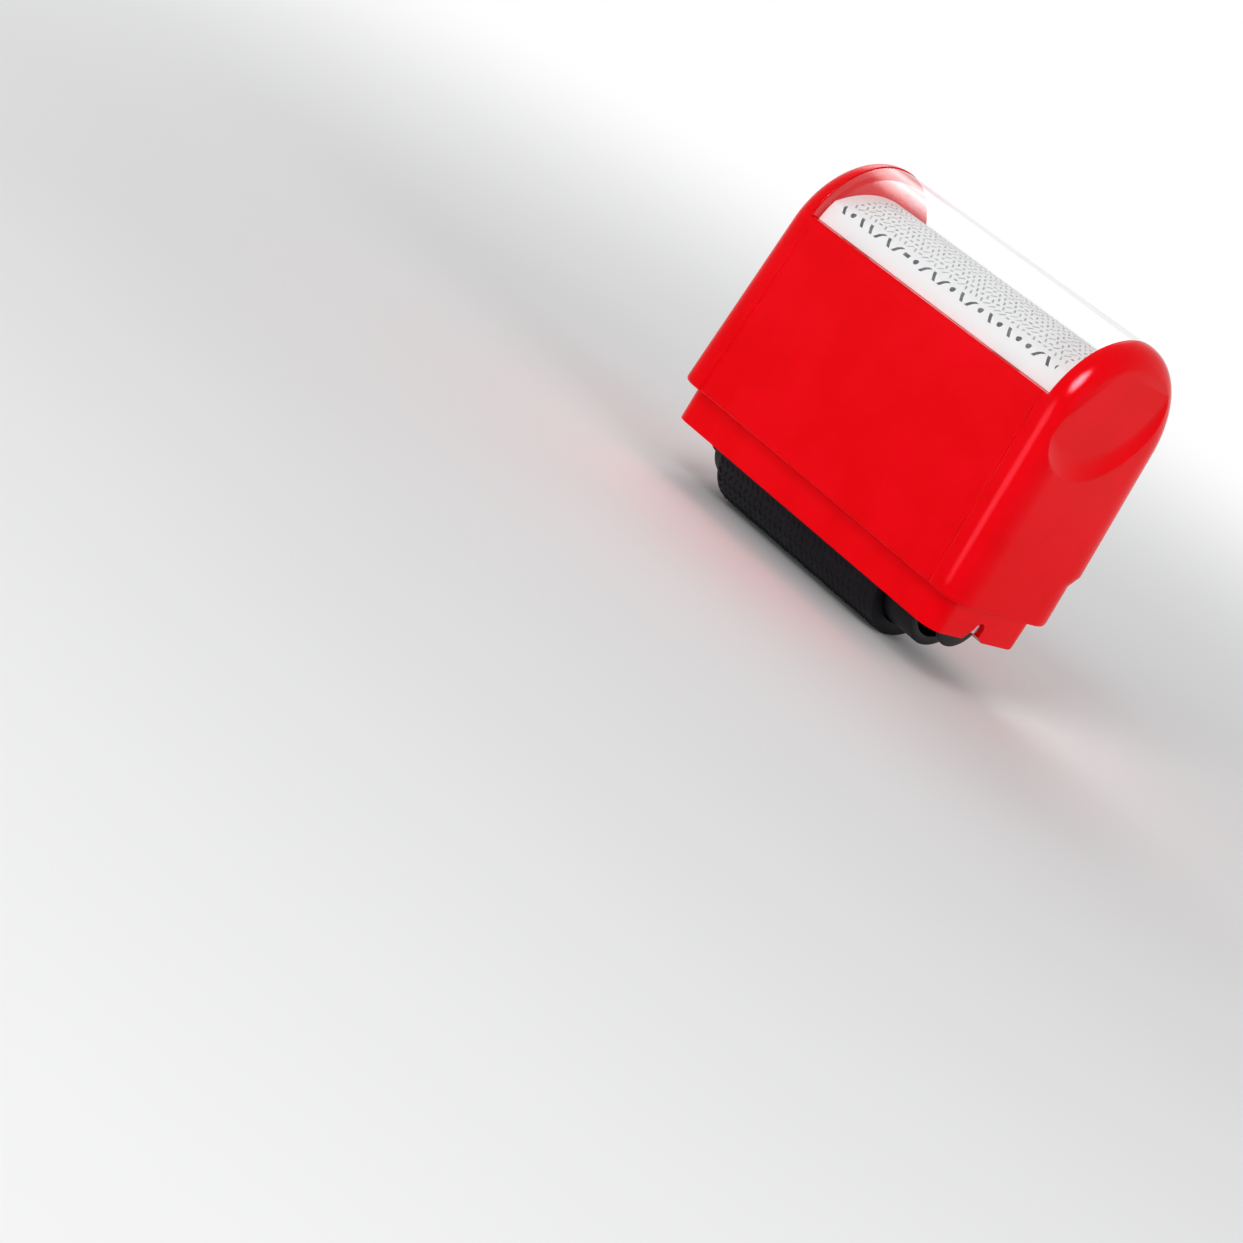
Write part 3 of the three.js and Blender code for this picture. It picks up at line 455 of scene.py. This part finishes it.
def glossy_red():
    finish = Finish("housing_red")
    flow = finish.noise(9, detail=3)
    cloud = finish.noise(2.2, detail=2)
    peel = finish.noise(0.55, detail=1) * 0.6 + finish.noise(1.6, detail=1) * 0.4
    handled = finish.noise(5, detail=5, rough=0.7).eased(0.48, 0.72)
    hairs = finish.noise(0.25, detail=2, stretch=(0.06, 1, 0.5)).eased(0.63, 0.74)
    colour = finish.between(
        flow.eased(0.35, 0.65), (0.82, 0.0008, 0.0035), (0.86, 0.0014, 0.0055))
    return finish.solid(
        base_color=colour,
        roughness=0.08 + cloud * 0.03 + handled * 0.03 + hairs * 0.03,
        specular_ior_level=0.085, specular_tint=(1, 0.3, 0.4, 1),
        normal=finish.grain(peel + hairs * 0.05, 0.003, finish.soft_edges(0.22)),
    )


RIB_HALF = 0.6
RIB_IN = 11.4
RIB_ROOT = 14.2
FRONT_RIB_LOW = 21.9
REAR_RIB_LOW = 23.8
TOP_RIB_FRONT = -6.6
TOP_RIB_REAR = 3.4
TOP_RIB_LOW = 47.8
TOP_RIB_ROOT = 51.78
TAB_PLACES = [(x, y) for x in (-17, 17) for y in (-13.481, 13.481)]

ribs = bmesh.new()
for x in (-14, 14):
    left, right = x - RIB_HALF, x + RIB_HALF
    block(ribs, (left, -RIB_ROOT, FRONT_RIB_LOW), (right, -RIB_IN, ARCH_HEIGHT))
    block(ribs, (left, RIB_IN, REAR_RIB_LOW), (right, RIB_ROOT, ARCH_HEIGHT))
    block(ribs, (left, TOP_RIB_FRONT, TOP_RIB_LOW), (right, TOP_RIB_REAR, TOP_RIB_ROOT))
tab_pockets = bmesh.new()
for x, y in TAB_PLACES:
    block(tab_pockets, (x - 3.15, y - 0.4, LEDGE - 1.55), (x + 3.15, y + 0.4, LEDGE + 4))
housing_bm = carved(
    carved(housing_form(), ("DIFFERENCE", cassette_hollow())),
    ("UNION", ribs),
    ("DIFFERENCE", window_pocket()),
    ("DIFFERENCE", finger_dish(1)),
    ("DIFFERENCE", finger_dish(-1)),
    ("DIFFERENCE", tab_pockets),
)
red = glossy_red()
housing = piece(housing_bm, "housing", "housing", ["housing_shell"], red)

# Window: a clear polished cover, bent from the ledge in front over the arch to the ledge behind,
# with a shallow notch for a fingernail in its front edge. Four tabs snap into the ledge.
WINDOW_OUTER = 14.35
WINDOW_INNER = 13.15
WINDOW_HALF = 26.85
WINDOW_GAP = 0.15
NOTCH_HALF = 5


def sharp_edges(bm, degrees):
    return [edge for edge in bm.edges if len(edge.link_faces) == 2
            and edge.calc_face_angle(0) > math.radians(degrees)]


def eased(bm, radius, degrees=35, segments=2):
    """Rounds every edge of a bmesh that turns by more than an angle."""
    bmesh.ops.bevel(bm, geom=sharp_edges(bm, degrees), offset=radius, affect="EDGES",
                    segments=segments, profile=0.5, material=-1, clamp_overlap=True)
    return bm


def window_cover():
    edge = math.asin((LEDGE + WINDOW_GAP - ARCH_HEIGHT) / WINDOW_INNER)
    pane = bmesh.new()
    pen = Pen(pane, -WINDOW_HALF, WINDOW_INNER, ARCH_HEIGHT)
    pen.line(-WINDOW_HALF, WINDOW_OUTER, ARCH_HEIGHT).line(WINDOW_HALF, WINDOW_OUTER, ARCH_HEIGHT)
    pen.line(WINDOW_HALF, WINDOW_INNER, ARCH_HEIGHT).close()
    centre = (0, 0, ARCH_HEIGHT)
    bmesh.ops.rotate(pane, cent=centre, matrix=Matrix.Rotation(edge, 3, "X"), verts=pane.verts)
    bmesh.ops.spin(pane, geom=pane.verts[:] + pane.edges[:], cent=centre, axis=(1, 0, 0),
                   angle=math.pi - 2 * edge, steps=96)
    bmesh.ops.holes_fill(pane, edges=[e for e in pane.edges if e.is_boundary], sides=0)
    bmesh.ops.recalc_face_normals(pane, faces=pane.faces)
    tabs = bmesh.new()
    for x, y in TAB_PLACES:
        block(tabs, (x - 3, y - 0.3, LEDGE - 1.4), (x + 3, y + 0.3, LEDGE + 0.75))
    notch = bmesh.new()
    block(notch, (-NOTCH_HALF, -CLEAR_OF_ARCH, ARCH_HEIGHT), (NOTCH_HALF, 0, LEDGE + 0.5))
    return carved(pane, ("UNION", tabs), ("DIFFERENCE", notch))


def clear_plastic():
    finish = Finish("clear_window")
    smear = finish.noise(7, detail=4, rough=0.6).eased(0.42, 0.75)
    specks = finish.noise(0.3, detail=1).eased(0.72, 0.78)
    shine = finish.node("ShaderNodeBsdfGlossy", {}, {
        "Color": (1, 1, 1, 1), "Roughness": 0.025 + smear * 0.025 + specks * 0.04,
        "Normal": finish.grain(finish.noise(4, detail=1), 0.01)})
    through = finish.node("ShaderNodeBsdfTransparent", {}, {"Color": (0.993, 0.995, 0.996, 1)})
    slant = finish.node("ShaderNodeLayerWeight", {}, {"Blend": 0.5}, output="Facing")
    share = 0.028 + slant ** 5 * 0.94 + smear * 0.012 + specks * 0.02
    pane = finish.node("ShaderNodeMixShader", {}, {0: share, 1: through, 2: shine})
    finish.tree.links.new(pane.socket, finish.output.inputs[0])
    return finish


window = piece(window_cover(), "window", "window", ["window_cover"],
               clear_plastic())

# Index card: a white printed card bent over the bed under the window, folded along its front
# margin. Rows of small printed marks run along it, the first row large and dark.
CARD_HALF = 26.6
CARD_START = 10.4
CARD_THICKNESS = 0.3
CROWN_SHARE = math.asin(FOLD_HALF / CROWN)


def card_sheet():
    sheet = bmesh.new()
    start = math.radians(CARD_START)
    pen = Pen(sheet, -CARD_HALF, CARD_SIDE * math.cos(start),
              ARCH_HEIGHT + CARD_SIDE * math.sin(start))
    card_line(pen, 0, CARD_START)
    edges = sheet.edges[:]
    drawn_out(sheet, edges, CARD_HALF)
    bmesh.ops.recalc_face_normals(sheet, faces=sheet.faces)
    if sum(face.normal.z for face in sheet.faces) < 0:
        bmesh.ops.reverse_faces(sheet, faces=sheet.faces)
    bmesh.ops.solidify(sheet, geom=sheet.faces[:], thickness=CARD_THICKNESS)
    rows = sheet.loops.layers.uv.new("rows")
    fold = ARCH_HEIGHT + FOLD_RISE - 0.01
    for face in sheet.faces:
        for loop in face.loops:
            x, y, z = loop.vert.co
            if z > fold:
                along = CROWN * (math.atan2(y, z - CROWN_CENTRE) + CROWN_SHARE)
            else:
                along = math.copysign(CARD_SIDE, y) * (
                    CARD_FOLD - math.atan2(z - ARCH_HEIGHT, abs(y)))
            loop[rows].uv = (x, along)
    return sheet


def marks(finish, across, along, pitch, height, seed, weight):
    """Printed marks in a row: strokes that lean either way, dots and short dashes."""
    across_cell = math.floor(across / pitch)
    along_cell = math.floor(along / height)
    picked = finish.node("ShaderNodeTexWhiteNoise", {"noise_dimensions": "3D"}, {
        "Vector": finish.node("ShaderNodeCombineXYZ", {}, {
            0: across_cell, 1: along_cell, 2: seed})})
    u = (across / pitch).fraction() - 0.5
    v = (along / height).fraction() - 0.5
    lean = (picked > 0.5) * 2 - 1
    stroke = (abs(u - v * lean * 0.7) < weight) * (abs(v) < 0.36)
    dot = (u * u + v * v) < (weight * 1.5) * (weight * 1.5)
    dash = (abs(v) < weight) * (abs(u) < 0.3)
    is_dot = abs(picked - 0.5) < 0.07
    is_dash = picked > 0.86
    plain = (1 - is_dot) * (1 - is_dash)
    return stroke * plain + dot * is_dot + dash * is_dash


def printed_card():
    finish = Finish("card")
    place = finish.node("ShaderNodeUVMap", {"uv_map": "rows"})
    split = finish.node("ShaderNodeSeparateXYZ", sockets={0: place}).socket.node.outputs
    across, along = Reading(finish, split[0]), Reading(finish, split[1])
    inside = (across > -24.6) * (across < 24.0)
    first = marks(finish, across, along + 1.2, 2.1, 2.2, 3.0, 0.15) * inside
    first = first * (along > -1.2) * (along < 1.0)
    rest = marks(finish, across, along, 1.16, 1.3, 7.0, 0.16) * inside
    rest = rest * (along > 1.3) * (along < 23.5)
    worn = finish.noise(1.4, detail=3).eased(0.3, 0.62)
    fibre = finish.noise(0.12, detail=3, stretch=(0.4, 1, 1))
    paper = finish.between(fibre, (0.93, 0.93, 0.93), (0.96, 0.96, 0.96))
    grey = finish.between(rest * (0.34 + worn * 0.36), paper, (0.16, 0.155, 0.17))
    ink = finish.between(first * (0.86 + worn * 0.12), grey, (0.045, 0.04, 0.055))
    return finish.solid(base_color=ink, roughness=0.62 + fibre * 0.2,
                        normal=finish.grain(fibre, 0.012))


piece(card_sheet(), "card", "housing", ["index_card"], printed_card())

# Cassette frame: a skirt under the housing's rim, a tub and two end towers, moulded in one from
# red plastic a little less glossy than the housing. The print axle snaps up into its slots.


def from_node(name, radius=0.12, degrees=35):
    """A copy of a node's solid with its corners merged and its edges eased."""
    copy = bmesh.new()
    copy.from_mesh(nodes[name].data)
    bmesh.ops.scale(copy, vec=(1 / MM, 1 / MM, 1 / MM), verts=copy.verts)
    bmesh.ops.remove_doubles(copy, verts=copy.verts, dist=0.001)
    bmesh.ops.dissolve_limit(copy, angle_limit=math.radians(0.8), verts=copy.verts,
                             edges=copy.edges)
    if radius:
        eased(copy, radius, degrees, segments=2)
    return copy


def satin_red():
    finish = Finish("cassette_red")
    flow = finish.noise(7, detail=3)
    cloud = finish.noise(1.8, detail=3)
    peel = finish.noise(0.45, detail=2)
    colour = finish.between(
        flow.eased(0.35, 0.65), (0.84, 0.0008, 0.0035), (0.88, 0.0014, 0.0055))
    return finish.solid(base_color=colour, roughness=0.14 + cloud * 0.04,
                        specular_ior_level=0.085, specular_tint=(1, 0.3, 0.4, 1),
                        normal=finish.grain(peel, 0.003, finish.soft_edges(0.2)))


frame_red = satin_red()
piece(from_node("cassette_frame", 0), "cassette", "cassette",
      ["cassette_frame"], frame_red)
piece(from_node("cassette_lid", 0.15), "lid", "cassette",
      ["cassette_lid"], frame_red)

# Print roller: a black moulded spool on a steel axle, with a printing sheet of black rubber
# glued round it. Rows of raised marks on the sheet print the pattern that hides an address.
ROLLER_Y = -1.6
ROLLER_Z = 9.8
SHEET_LEFT = -20.3
SHEET_RIGHT = 17.9
SHEET_INNER = 7.5
SHEET_TOP = 9.79
SHEET_BASE = 9.68
MARK_RELIEF = 0.12
MARK_PITCH = 1.27


def turned(profile, steps=96, round_off=0.15):
    """A solid turned about a line along X, from pairs of radius and place, its corners eased."""
    lathe = bmesh.new()
    pen = Pen(lathe, profile[0][1], profile[0][0], 0)
    for radius, place in profile[1:]:
        pen.line(place, radius, 0)
    if profile[0][0] > 0:
        pen.close()
    corners = [v for v in lathe.verts if len(v.link_edges) == 2]
    if round_off:
        bmesh.ops.bevel(lathe, geom=corners, offset=round_off, affect="VERTICES", segments=2,
                        profile=0.5, material=-1, clamp_overlap=True)
    bmesh.ops.spin(lathe, geom=lathe.verts[:] + lathe.edges[:], cent=(0, 0, 0), axis=(1, 0, 0),
                   angle=math.tau, steps=steps, use_merge=True)
    bmesh.ops.remove_doubles(lathe, verts=lathe.verts, dist=0.0005)
    return lathe


def print_sheet():
    sheet = turned([(SHEET_INNER, SHEET_LEFT), (SHEET_BASE, SHEET_LEFT),
                    (SHEET_BASE, SHEET_RIGHT), (SHEET_INNER, SHEET_RIGHT)], 120, 0.2)
    rows = 36
    columns = 30
    for row in range(1, rows):
        for column in range(columns):
            kind = (row * 7 + column * 5 + row * column) % 8
            made = bmesh.ops.create_cube(sheet, size=1)["verts"]
            size = (0.5, 0.5, MARK_RELIEF) if kind == 0 else (0.3, 1.15, MARK_RELIEF)
            bmesh.ops.scale(sheet, vec=size, verts=made)
            top = [v for v in made if v.co.z > 0]
            bmesh.ops.scale(sheet, vec=(0.7, 0.85, 1), verts=top)
            lean = 0 if kind == 0 else math.radians(28 if (row + (kind == 4)) % 2 else -28)
            bmesh.ops.rotate(sheet, cent=(0, 0, 0), matrix=Matrix.Rotation(lean, 3, "Z"),
                             verts=made)
            place = (SHEET_LEFT + 0.7 + column * MARK_PITCH, 0, SHEET_TOP - MARK_RELIEF / 2)
            bmesh.ops.translate(sheet, vec=place, verts=made)
            turn = Matrix.Rotation(math.tau * row / rows, 3, "X")
            bmesh.ops.rotate(sheet, cent=(0, 0, 0), matrix=turn, verts=made)
    return sheet


def black_rubber():
    finish = Finish("print_rubber")
    grain = finish.noise(0.16, detail=3, rough=0.6)
    inked = finish.noise(2.4, detail=4, rough=0.6).eased(0.4, 0.65)
    colour = finish.between(inked, (0.0055, 0.005, 0.0075), (0.011, 0.010, 0.0145))
    return finish.solid(base_color=colour, roughness=0.42 + inked * 0.16 + grain * 0.1,
                        specular_ior_level=0.18,
                        normal=finish.grain(grain, 0.02, finish.soft_edges(0.08)))


def black_satin():
    finish = Finish("black_plastic")
    grain = finish.noise(0.2, detail=3, rough=0.6)
    cloud = finish.noise(3, detail=3)
    colour = finish.between(cloud, (0.005, 0.0045, 0.0065), (0.009, 0.008, 0.011))
    return finish.solid(base_color=colour, roughness=0.33 + cloud * 0.14,
                        specular_ior_level=0.2,
                        normal=finish.grain(grain, 0.008, finish.soft_edges(0.12)))


def placed(bm, y, z):
    bmesh.ops.translate(bm, vec=(0, y, z), verts=bm.verts)
    return bm


AXLE_BORE = 1.15


def print_spool():
    hub, boss, drum, skin = 2.15, 3.59, 5.75, 7.35
    end, drum_end, web = 26.85, 24, 1.2
    return turned([
        (AXLE_BORE, -end), (hub, -end), (boss, -drum_end), (boss, -web), (drum, -web),
        (drum, -drum_end), (skin, -drum_end), (skin, drum_end), (drum, drum_end), (drum, web),
        (boss, web), (boss, drum_end), (hub, end), (AXLE_BORE, end)], round_off=0.2)


rubber = black_rubber()
black = black_satin()
piece(placed(print_sheet(), ROLLER_Y, ROLLER_Z), "print_sheet", "print_roller",
      ["print_sleeve"], rubber)
piece(placed(print_spool(), ROLLER_Y, ROLLER_Z), "spool", "print_roller",
      ["print_core"], black)


def drawn_steel():
    finish = Finish("axle_steel")
    drawn = finish.noise(0.12, detail=3, stretch=(0.03, 1, 1))
    cloud = finish.noise(2.5, detail=3)
    colour = finish.between(cloud, (0.60, 0.61, 0.63), (0.72, 0.73, 0.75))
    return finish.solid(base_color=colour, metallic=1.0, roughness=0.2 + drawn * 0.16,
                        normal=finish.grain(drawn, 0.004))


def natural_nylon():
    finish = Finish("nylon")
    cloud = finish.noise(2, detail=3)
    grain = finish.noise(0.2, detail=2)
    colour = finish.between(cloud, (0.74, 0.72, 0.66), (0.82, 0.80, 0.75))
    return finish.solid(base_color=colour, roughness=0.38 + cloud * 0.15,
                        normal=finish.grain(grain, 0.008))


def rod(half_length):
    radius = 1
    return turned([(0, -half_length), (radius, -half_length), (radius, half_length),
                   (0, half_length)], 40, 0.3)


COLLAR_RADIUS = 5.1
COLLAR_INNER_END = 27.15
COLLAR_OUTER_END = 27.75
steel = drawn_steel()
nylon = natural_nylon()
piece(placed(rod(30.5), ROLLER_Y, ROLLER_Z), "print_axle_rod", "print_roller",
      ["print_axle"], steel)
for side, node in ((-1, "left_print_collar"), (1, "right_print_collar")):
    near, far = side * COLLAR_INNER_END, side * COLLAR_OUTER_END
    collar = turned([(AXLE_BORE, near), (COLLAR_RADIUS, near), (COLLAR_RADIUS, far),
                     (AXLE_BORE, far)], 64, 0.12)
    piece(placed(collar, ROLLER_Y, ROLLER_Z), node.replace("print_collar", "washer"),
          "print_roller", [node], black)

# Ink roller: a perforated white tube that holds the ink, with a felt wick inside, a sleeve of
# black foam round it and a black cap at each end. It rolls on the printing sheet and inks it.
INK_Z = 28.35
FOAM_INNER = 5.25
FOAM_OUTER = 8.5
FOAM_OVERHANG = 0.2
FELT_OUTER = 3.95
FELT_BORE = 1.5
FELT_HALF = 19.85
CAP_BORE = 1.1
CAP_RADIUS = 7.1


def soaked_foam():
    finish = Finish("ink_foam")
    pores = finish.node("ShaderNodeTexVoronoi", {"feature": "F1"}, {
        "Vector": finish.place, "Scale": 3.4})
    pit_depth_and_shade = pores.eased(0.05, 0.6)
    wet = finish.noise(2.6, detail=3).eased(0.4, 0.65)
    # Painted shade: the foam is painted darker down in its pores, where the bump sinks.
    colour = finish.between(pit_depth_and_shade, (0.004, 0.0035, 0.006), (0.014, 0.013, 0.02))
    return finish.solid(base_color=colour, roughness=0.85 - wet * 0.3,
                        normal=finish.grain(pit_depth_and_shade, 0.08))


def dense_felt():
    finish = Finish("ink_felt")
    hairs = finish.noise(0.12, detail=4, rough=0.7, stretch=(0.3, 1, 1))
    colour = finish.between(hairs, (0.008, 0.007, 0.01), (0.03, 0.027, 0.036))
    return finish.solid(base_color=colour, roughness=0.9 + hairs * 0.1,
                        normal=finish.grain(hairs, 0.06))


foam_left, foam_right = SHEET_LEFT - FOAM_OVERHANG, SHEET_RIGHT + FOAM_OVERHANG
foam = turned([(FOAM_INNER, foam_left), (FOAM_OUTER, foam_left), (FOAM_OUTER, foam_right),
               (FOAM_INNER, foam_right)], 96, 0.8)
piece(placed(foam, ROLLER_Y, INK_Z), "foam_sleeve", "ink_roller", ["ink_sleeve"],
      soaked_foam())
piece(from_node("ink_core", 0), "reservoir_tube", "ink_roller", ["ink_core"], nylon)
felt = turned([(FELT_BORE, -FELT_HALF), (FELT_OUTER, -FELT_HALF), (FELT_OUTER, FELT_HALF),
               (FELT_BORE, FELT_HALF)], 48, 0.2)
piece(placed(felt, ROLLER_Y, INK_Z), "felt_wick", "ink_roller", ["ink_felt"],
      dense_felt())
for side, node in ((-1, "left_ink_cap"), (1, "right_ink_cap")):
    plug, flange, end = side * 20.25, side * 21.85, side * 22.85
    cap = turned([(CAP_BORE, plug), (FELT_OUTER, plug), (FELT_OUTER, flange),
                  (CAP_RADIUS, flange), (CAP_RADIUS, end), (CAP_BORE, end)], 72, 0.12)
    piece(placed(cap, ROLLER_Y, INK_Z), node.replace("ink_cap", "tube_cap"), "ink_roller",
          [node], black)
piece(placed(rod(27.85), ROLLER_Y, INK_Z), "ink_axle_rod", "ink_carriage",
      ["ink_axle"], steel)

# Bearing blocks and springs: black moulded blocks carry the ink axle and slide in the towers,
# and a coil spring of steel wire over a peg on each presses the ink roller down.


WIRE = 0.25
COIL_RADIUS = 1.45
SPRING_X = 25.2
SPRING_LOW = 32.49
SPRING_HIGH = 45.79


def coil(side):
    low, high = SPRING_LOW + WIRE, SPRING_HIGH - WIRE
    spring = bmesh.new()
    bmesh.ops.create_circle(spring, segments=10, radius=WIRE)
    bmesh.ops.rotate(spring, cent=(0, 0, 0), matrix=Matrix.Rotation(math.pi / 2, 3, "X"),
                     verts=spring.verts)
    bmesh.ops.translate(spring, vec=(COIL_RADIUS, 0, low), verts=spring.verts)
    bmesh.ops.contextual_create(spring, geom=spring.verts[:])
    turns = 8
    steps = 24
    rise = (high - low) / (turns * steps)
    bmesh.ops.spin(spring, geom=spring.faces[:], cent=(0, 0, 0), axis=(0, 0, 1),
                   angle=math.tau * turns, steps=turns * steps, dvec=(0, 0, rise))
    bmesh.ops.translate(spring, vec=(side * SPRING_X, ROLLER_Y, 0), verts=spring.verts)
    return spring


for side, name in ((-1, "left"), (1, "right")):
    piece(from_node(name + "_ink_block", 0.18), name + "_block", "ink_carriage",
          [name + "_ink_block"], black)
    spring = piece(coil(side), name + "_spring", "cassette",
                   [name + "_ink_spring"], steel, smooth=60)
    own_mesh(spring)

# The place it stands: a pale matt floor that fades to white, in a plain white surround. Soft
# lamps light it from the front, low and high, from both sides and from behind. Three more show
# only as reflections: on the housing's shoulder, along its corner and over the window.


def pale_floor():
    finish = Finish("floor")
    far = finish.node("ShaderNodeVectorMath", {"operation": "LENGTH"}, {0: finish.place},
                      output="Value")
    fade = far.eased(90, 420)
    tone = finish.between(finish.noise(40, detail=3), (0.78, 0.785, 0.79), (0.80, 0.805, 0.81))
    matt = finish.node("ShaderNodeBsdfDiffuse", {}, {"Color": tone})
    white = finish.node("ShaderNodeEmission", {}, {"Color": (1, 1, 1, 1), "Strength": 1.0})
    rays = finish.node("ShaderNodeLightPath").socket.node.outputs
    seen = Reading(finish, rays["Is Camera Ray"]) + Reading(finish, rays["Is Glossy Ray"])
    surface = finish.node("ShaderNodeMixShader", {}, {0: fade * seen, 1: matt, 2: white})
    finish.tree.links.new(surface.socket, finish.output.inputs[0])
    return finish


floor_bm = bmesh.new()
bmesh.ops.create_circle(floor_bm, cap_ends=True, segments=96, radius=2400)
floor = bpy.data.objects.new("floor", mesh_of(floor_bm, "floor"))
bpy.context.scene.collection.objects.link(floor)
floor.data.materials.append(pale_floor().material)


def softbox(name, place, target, size, watts):
    light = bpy.data.lights.new(name, "AREA")
    light.shape = "RECTANGLE"
    light.size, light.size_y = size
    light.energy = watts
    lamp = bpy.data.objects.new(name, light)
    bpy.context.scene.collection.objects.link(lamp)
    lamp.visible_camera = False
    lamp.location = place
    lamp.rotation_mode = "QUATERNION"
    lamp.rotation_quaternion = (Vector(target) - Vector(place)).to_track_quat("-Z", "Y")
    return lamp


for name, place, target, size, watts in (
        ("key", (0.054, -0.39, 0.377), (0.029, -0.013, 0.05), (0.2, 0.2), 0.69),
        ("low front", (-0.15, -0.6, 0.09), (0, 0, 0.02), (0.5, 0.16), 0.95),
        ("right", (0.6, -0.06, 0.23), (0, 0, 0.04), (0.3, 0.2), 1.05),
        ("left", (-0.34, 0.17, 0.40), (0, 0, 0.04), (0.36, 0.3), 0.8),
        ("back", (0.4, 0.6, 0.12), (0, 0, 0.03), (0.4, 0.24), 0.6)):
    softbox(name, place, target, size, watts).visible_glossy = False


def glow(name, place, target, size, watts, shown_in):
    """A softbox that fades towards its edges and shows only as a reflection in some pieces."""
    lamp = softbox(name, place, target, size, watts)
    mirrors = bpy.data.collections.new(name)
    for made in shown_in:
        mirrors.objects.link(made)
    lamp.light_linking.receiver_collection = mirrors
    lamp.visible_diffuse = lamp.visible_transmission = lamp.visible_volume_scatter = False
    lamp.data.use_shadow = False
    lamp.data.use_nodes = True
    tree = lamp.data.node_tree
    over = tree.nodes.new("ShaderNodeTexCoord")
    off_centre = tree.nodes.new("ShaderNodeVectorMath")
    off_centre.operation = "DISTANCE"
    off_centre.inputs[1].default_value = (0.5, 0.5, 0)
    fade = tree.nodes.new("ShaderNodeMapRange")
    fade.interpolation_type = "SMOOTHSTEP"
    for socket, value in ((1, 0.5), (2, 0.15), (3, 0.0), (4, 1.0)):
        fade.inputs[socket].default_value = value
    tree.links.new(over.outputs["UV"], off_centre.inputs[0])
    tree.links.new(off_centre.outputs["Value"], fade.inputs[0])
    tree.links.new(fade.outputs[0], tree.nodes["Emission"].inputs["Strength"])
    return lamp


glow("shoulder box", (0.224, -0.335, 0.375), (0.029, -0.013, 0.05), (0.42, 0.34), 80,
     [housing])
glow("corner strip", (0.027, -0.118, 0.028), (0.029, -0.015, 0.034), (0.07, 0.09), 0.32,
     [housing])
glow("crown sheet", (-0.29, 0.21, 0.35), (-0.02, -0.005, 0.055), (0.36, 0.46), 1.9,
     [housing, window])

world = bpy.data.worlds.new("surround")
bpy.context.scene.world = world
world.use_nodes = True
around = world.node_tree
around.nodes.clear()
paths = around.nodes.new("ShaderNodeLightPath")
lit = around.nodes.new("ShaderNodeBackground")
lit.inputs["Color"].default_value = (1, 1, 1, 1)
lit.inputs["Strength"].default_value = 0.38
bare = around.nodes.new("ShaderNodeBackground")
bare.inputs["Color"].default_value = (1, 1, 1, 1)
bare.inputs["Strength"].default_value = 1.0
mix = around.nodes.new("ShaderNodeMixShader")
seen = paths.outputs["Is Camera Ray"]
for ray in ("Is Glossy Ray", "Is Transmission Ray"):
    either = around.nodes.new("ShaderNodeMath")
    either.operation = "MAXIMUM"
    around.links.new(seen, either.inputs[0])
    around.links.new(paths.outputs[ray], either.inputs[1])
    seen = either.outputs[0]
around.links.new(seen, mix.inputs[0])
around.links.new(lit.outputs[0], mix.inputs[1])
around.links.new(bare.outputs[0], mix.inputs[2])
surround = around.nodes.new("ShaderNodeOutputWorld")
around.links.new(mix.outputs[0], surround.inputs[0])

bpy.context.scene.view_settings.view_transform = "Standard"
